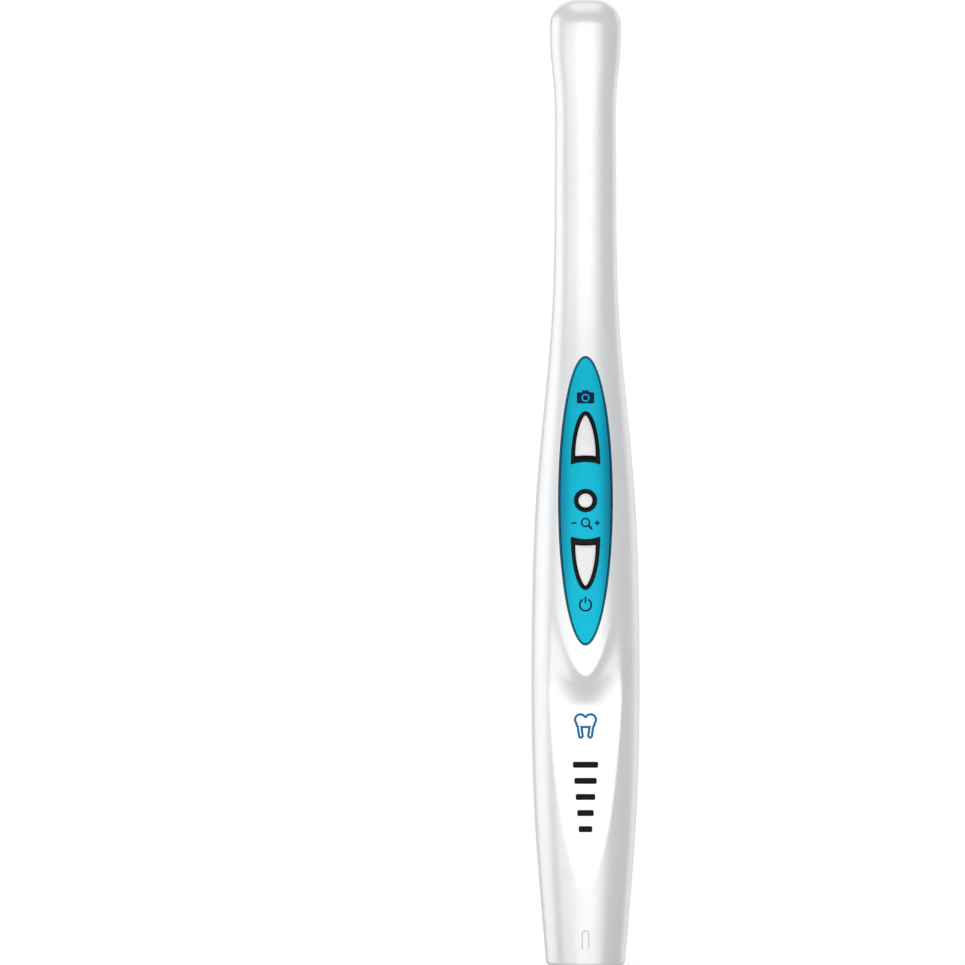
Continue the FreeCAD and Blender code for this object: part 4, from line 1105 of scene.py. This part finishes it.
def floor_finish():
    """White that glows a little and fades out towards the floor's rim."""
    made = bpy.data.materials.new("floor_white")
    made.use_nodes = True
    graph = Graph(made.node_tree)
    shader = graph.tree.nodes["Principled BSDF"]
    set_inputs(shader, {"Base Color": (0.93, 0.93, 0.93, 1), "Roughness": 0.7})
    set_inputs(shader, {"Emission Color": (1, 1, 1, 1), "Emission Strength": 0.3})
    place = graph.node("ShaderNodeTexCoord")
    reach = graph.node("ShaderNodeVectorMath", operation="LENGTH")
    span = {"From Min": FLOOR_FADE_START, "From Max": FLOOR_REACH, "To Min": 1.0, "To Max": 0.0}
    fade = graph.node("ShaderNodeMapRange", span, interpolation_type="SMOOTHSTEP")
    graph.link(place.outputs["Object"], reach.inputs[0])
    graph.link(reach.outputs["Value"], fade.inputs["Value"])
    graph.link(fade.outputs["Result"], shader.inputs["Alpha"])
    return made


def studio_world():
    """Even light all round, behind a plain white that only the camera sees."""
    made = bpy.data.worlds.new("studio")
    made.use_nodes = True
    graph = Graph(made.node_tree)
    seen = graph.node("ShaderNodeBackground", {"Color": (1, 1, 1, 1), "Strength": 1.0})
    fill = graph.tree.nodes["Background"]
    set_inputs(fill, {"Color": (0.97, 0.985, 1, 1), "Strength": 0.52})
    path = graph.node("ShaderNodeLightPath")
    choose = graph.node("ShaderNodeMixShader")
    graph.link(path.outputs["Is Camera Ray"], choose.inputs["Fac"])
    graph.link(fill.outputs["Background"], choose.inputs[1])
    graph.link(seen.outputs["Background"], choose.inputs[2])
    graph.link(choose.outputs["Shader"], graph.tree.nodes["World Output"].inputs["Surface"])
    return made


bpy.ops.mesh.primitive_circle_add(vertices=128, radius=FLOOR_REACH, fill_type="NGON")
floor = bpy.context.object
floor.name = "floor"
floor.data.materials.append(floor_finish())
floor.visible_diffuse = False
floor.visible_glossy = False
bpy.context.scene.world = studio_world()

LAMP_DISTANCE = 0.9
# Tall panels round the wand, with gaps at its right front and left front that shade its sides. Each has
# its azimuth, elevation, width, height and power; azimuth 0 is in front of the key side, 90 to its right
SOFTBOXES = {
    "front": (0, -3, 0.9, 0.66, 2.3),
    "front_right": (36, -5, 0.29, 0.55, 0.4),
    "front_left": (315, -5, 0.57, 0.55, 0.8),
    "rear_right": (135, 5, 0.57, 0.9, 0.85),
    "rear_left": (245, 5, 0.6, 0.9, 1.3),
    "left": (270, 5, 0.29, 0.9, 0.62),
    "back": (180, -5, 0.55, 0.55, 0.9),
    "back_high": (180, 38, 0.9, 0.4, 0.8),
    "top": (0, 88, 0.8, 0.8, 1.3),
}
for name, (azimuth, elevation, width, height, power) in SOFTBOXES.items():
    lamp = bpy.data.lights.new(name, "AREA")
    lamp.shape = "RECTANGLE"
    lamp.size, lamp.size_y = width, height
    lamp.energy = power
    lamp_object = bpy.data.objects.new(name, lamp)
    lamp_object.visible_camera = False
    bpy.context.scene.collection.objects.link(lamp_object)
    a, e = math.radians(azimuth), math.radians(elevation)
    back = np.array([math.sin(a) * math.cos(e), -math.cos(a) * math.cos(e), math.sin(e)])
    lamp_object.location = back * LAMP_DISTANCE + (0, 0, WAND_MIDDLE)
    lamp_object.rotation_euler = (math.pi / 2 - e, 0, a)

# The camera looks at the key side, with the wand where the photograph's right half has it
EYE_DISTANCE, PHOTO_SHIFT = 1.10967, -0.10674
camera = bpy.data.cameras.new("camera")
camera.sensor_width = 36
camera.lens = 200
camera.shift_x = PHOTO_SHIFT
camera_object = bpy.data.objects.new("camera", camera)
bpy.context.scene.collection.objects.link(camera_object)
camera_object.location = (0, -EYE_DISTANCE, WAND_MIDDLE)
camera_object.rotation_euler = (math.radians(90), 0, 0)
bpy.context.scene.camera = camera_object
bpy.context.scene.view_settings.view_transform = "Standard"
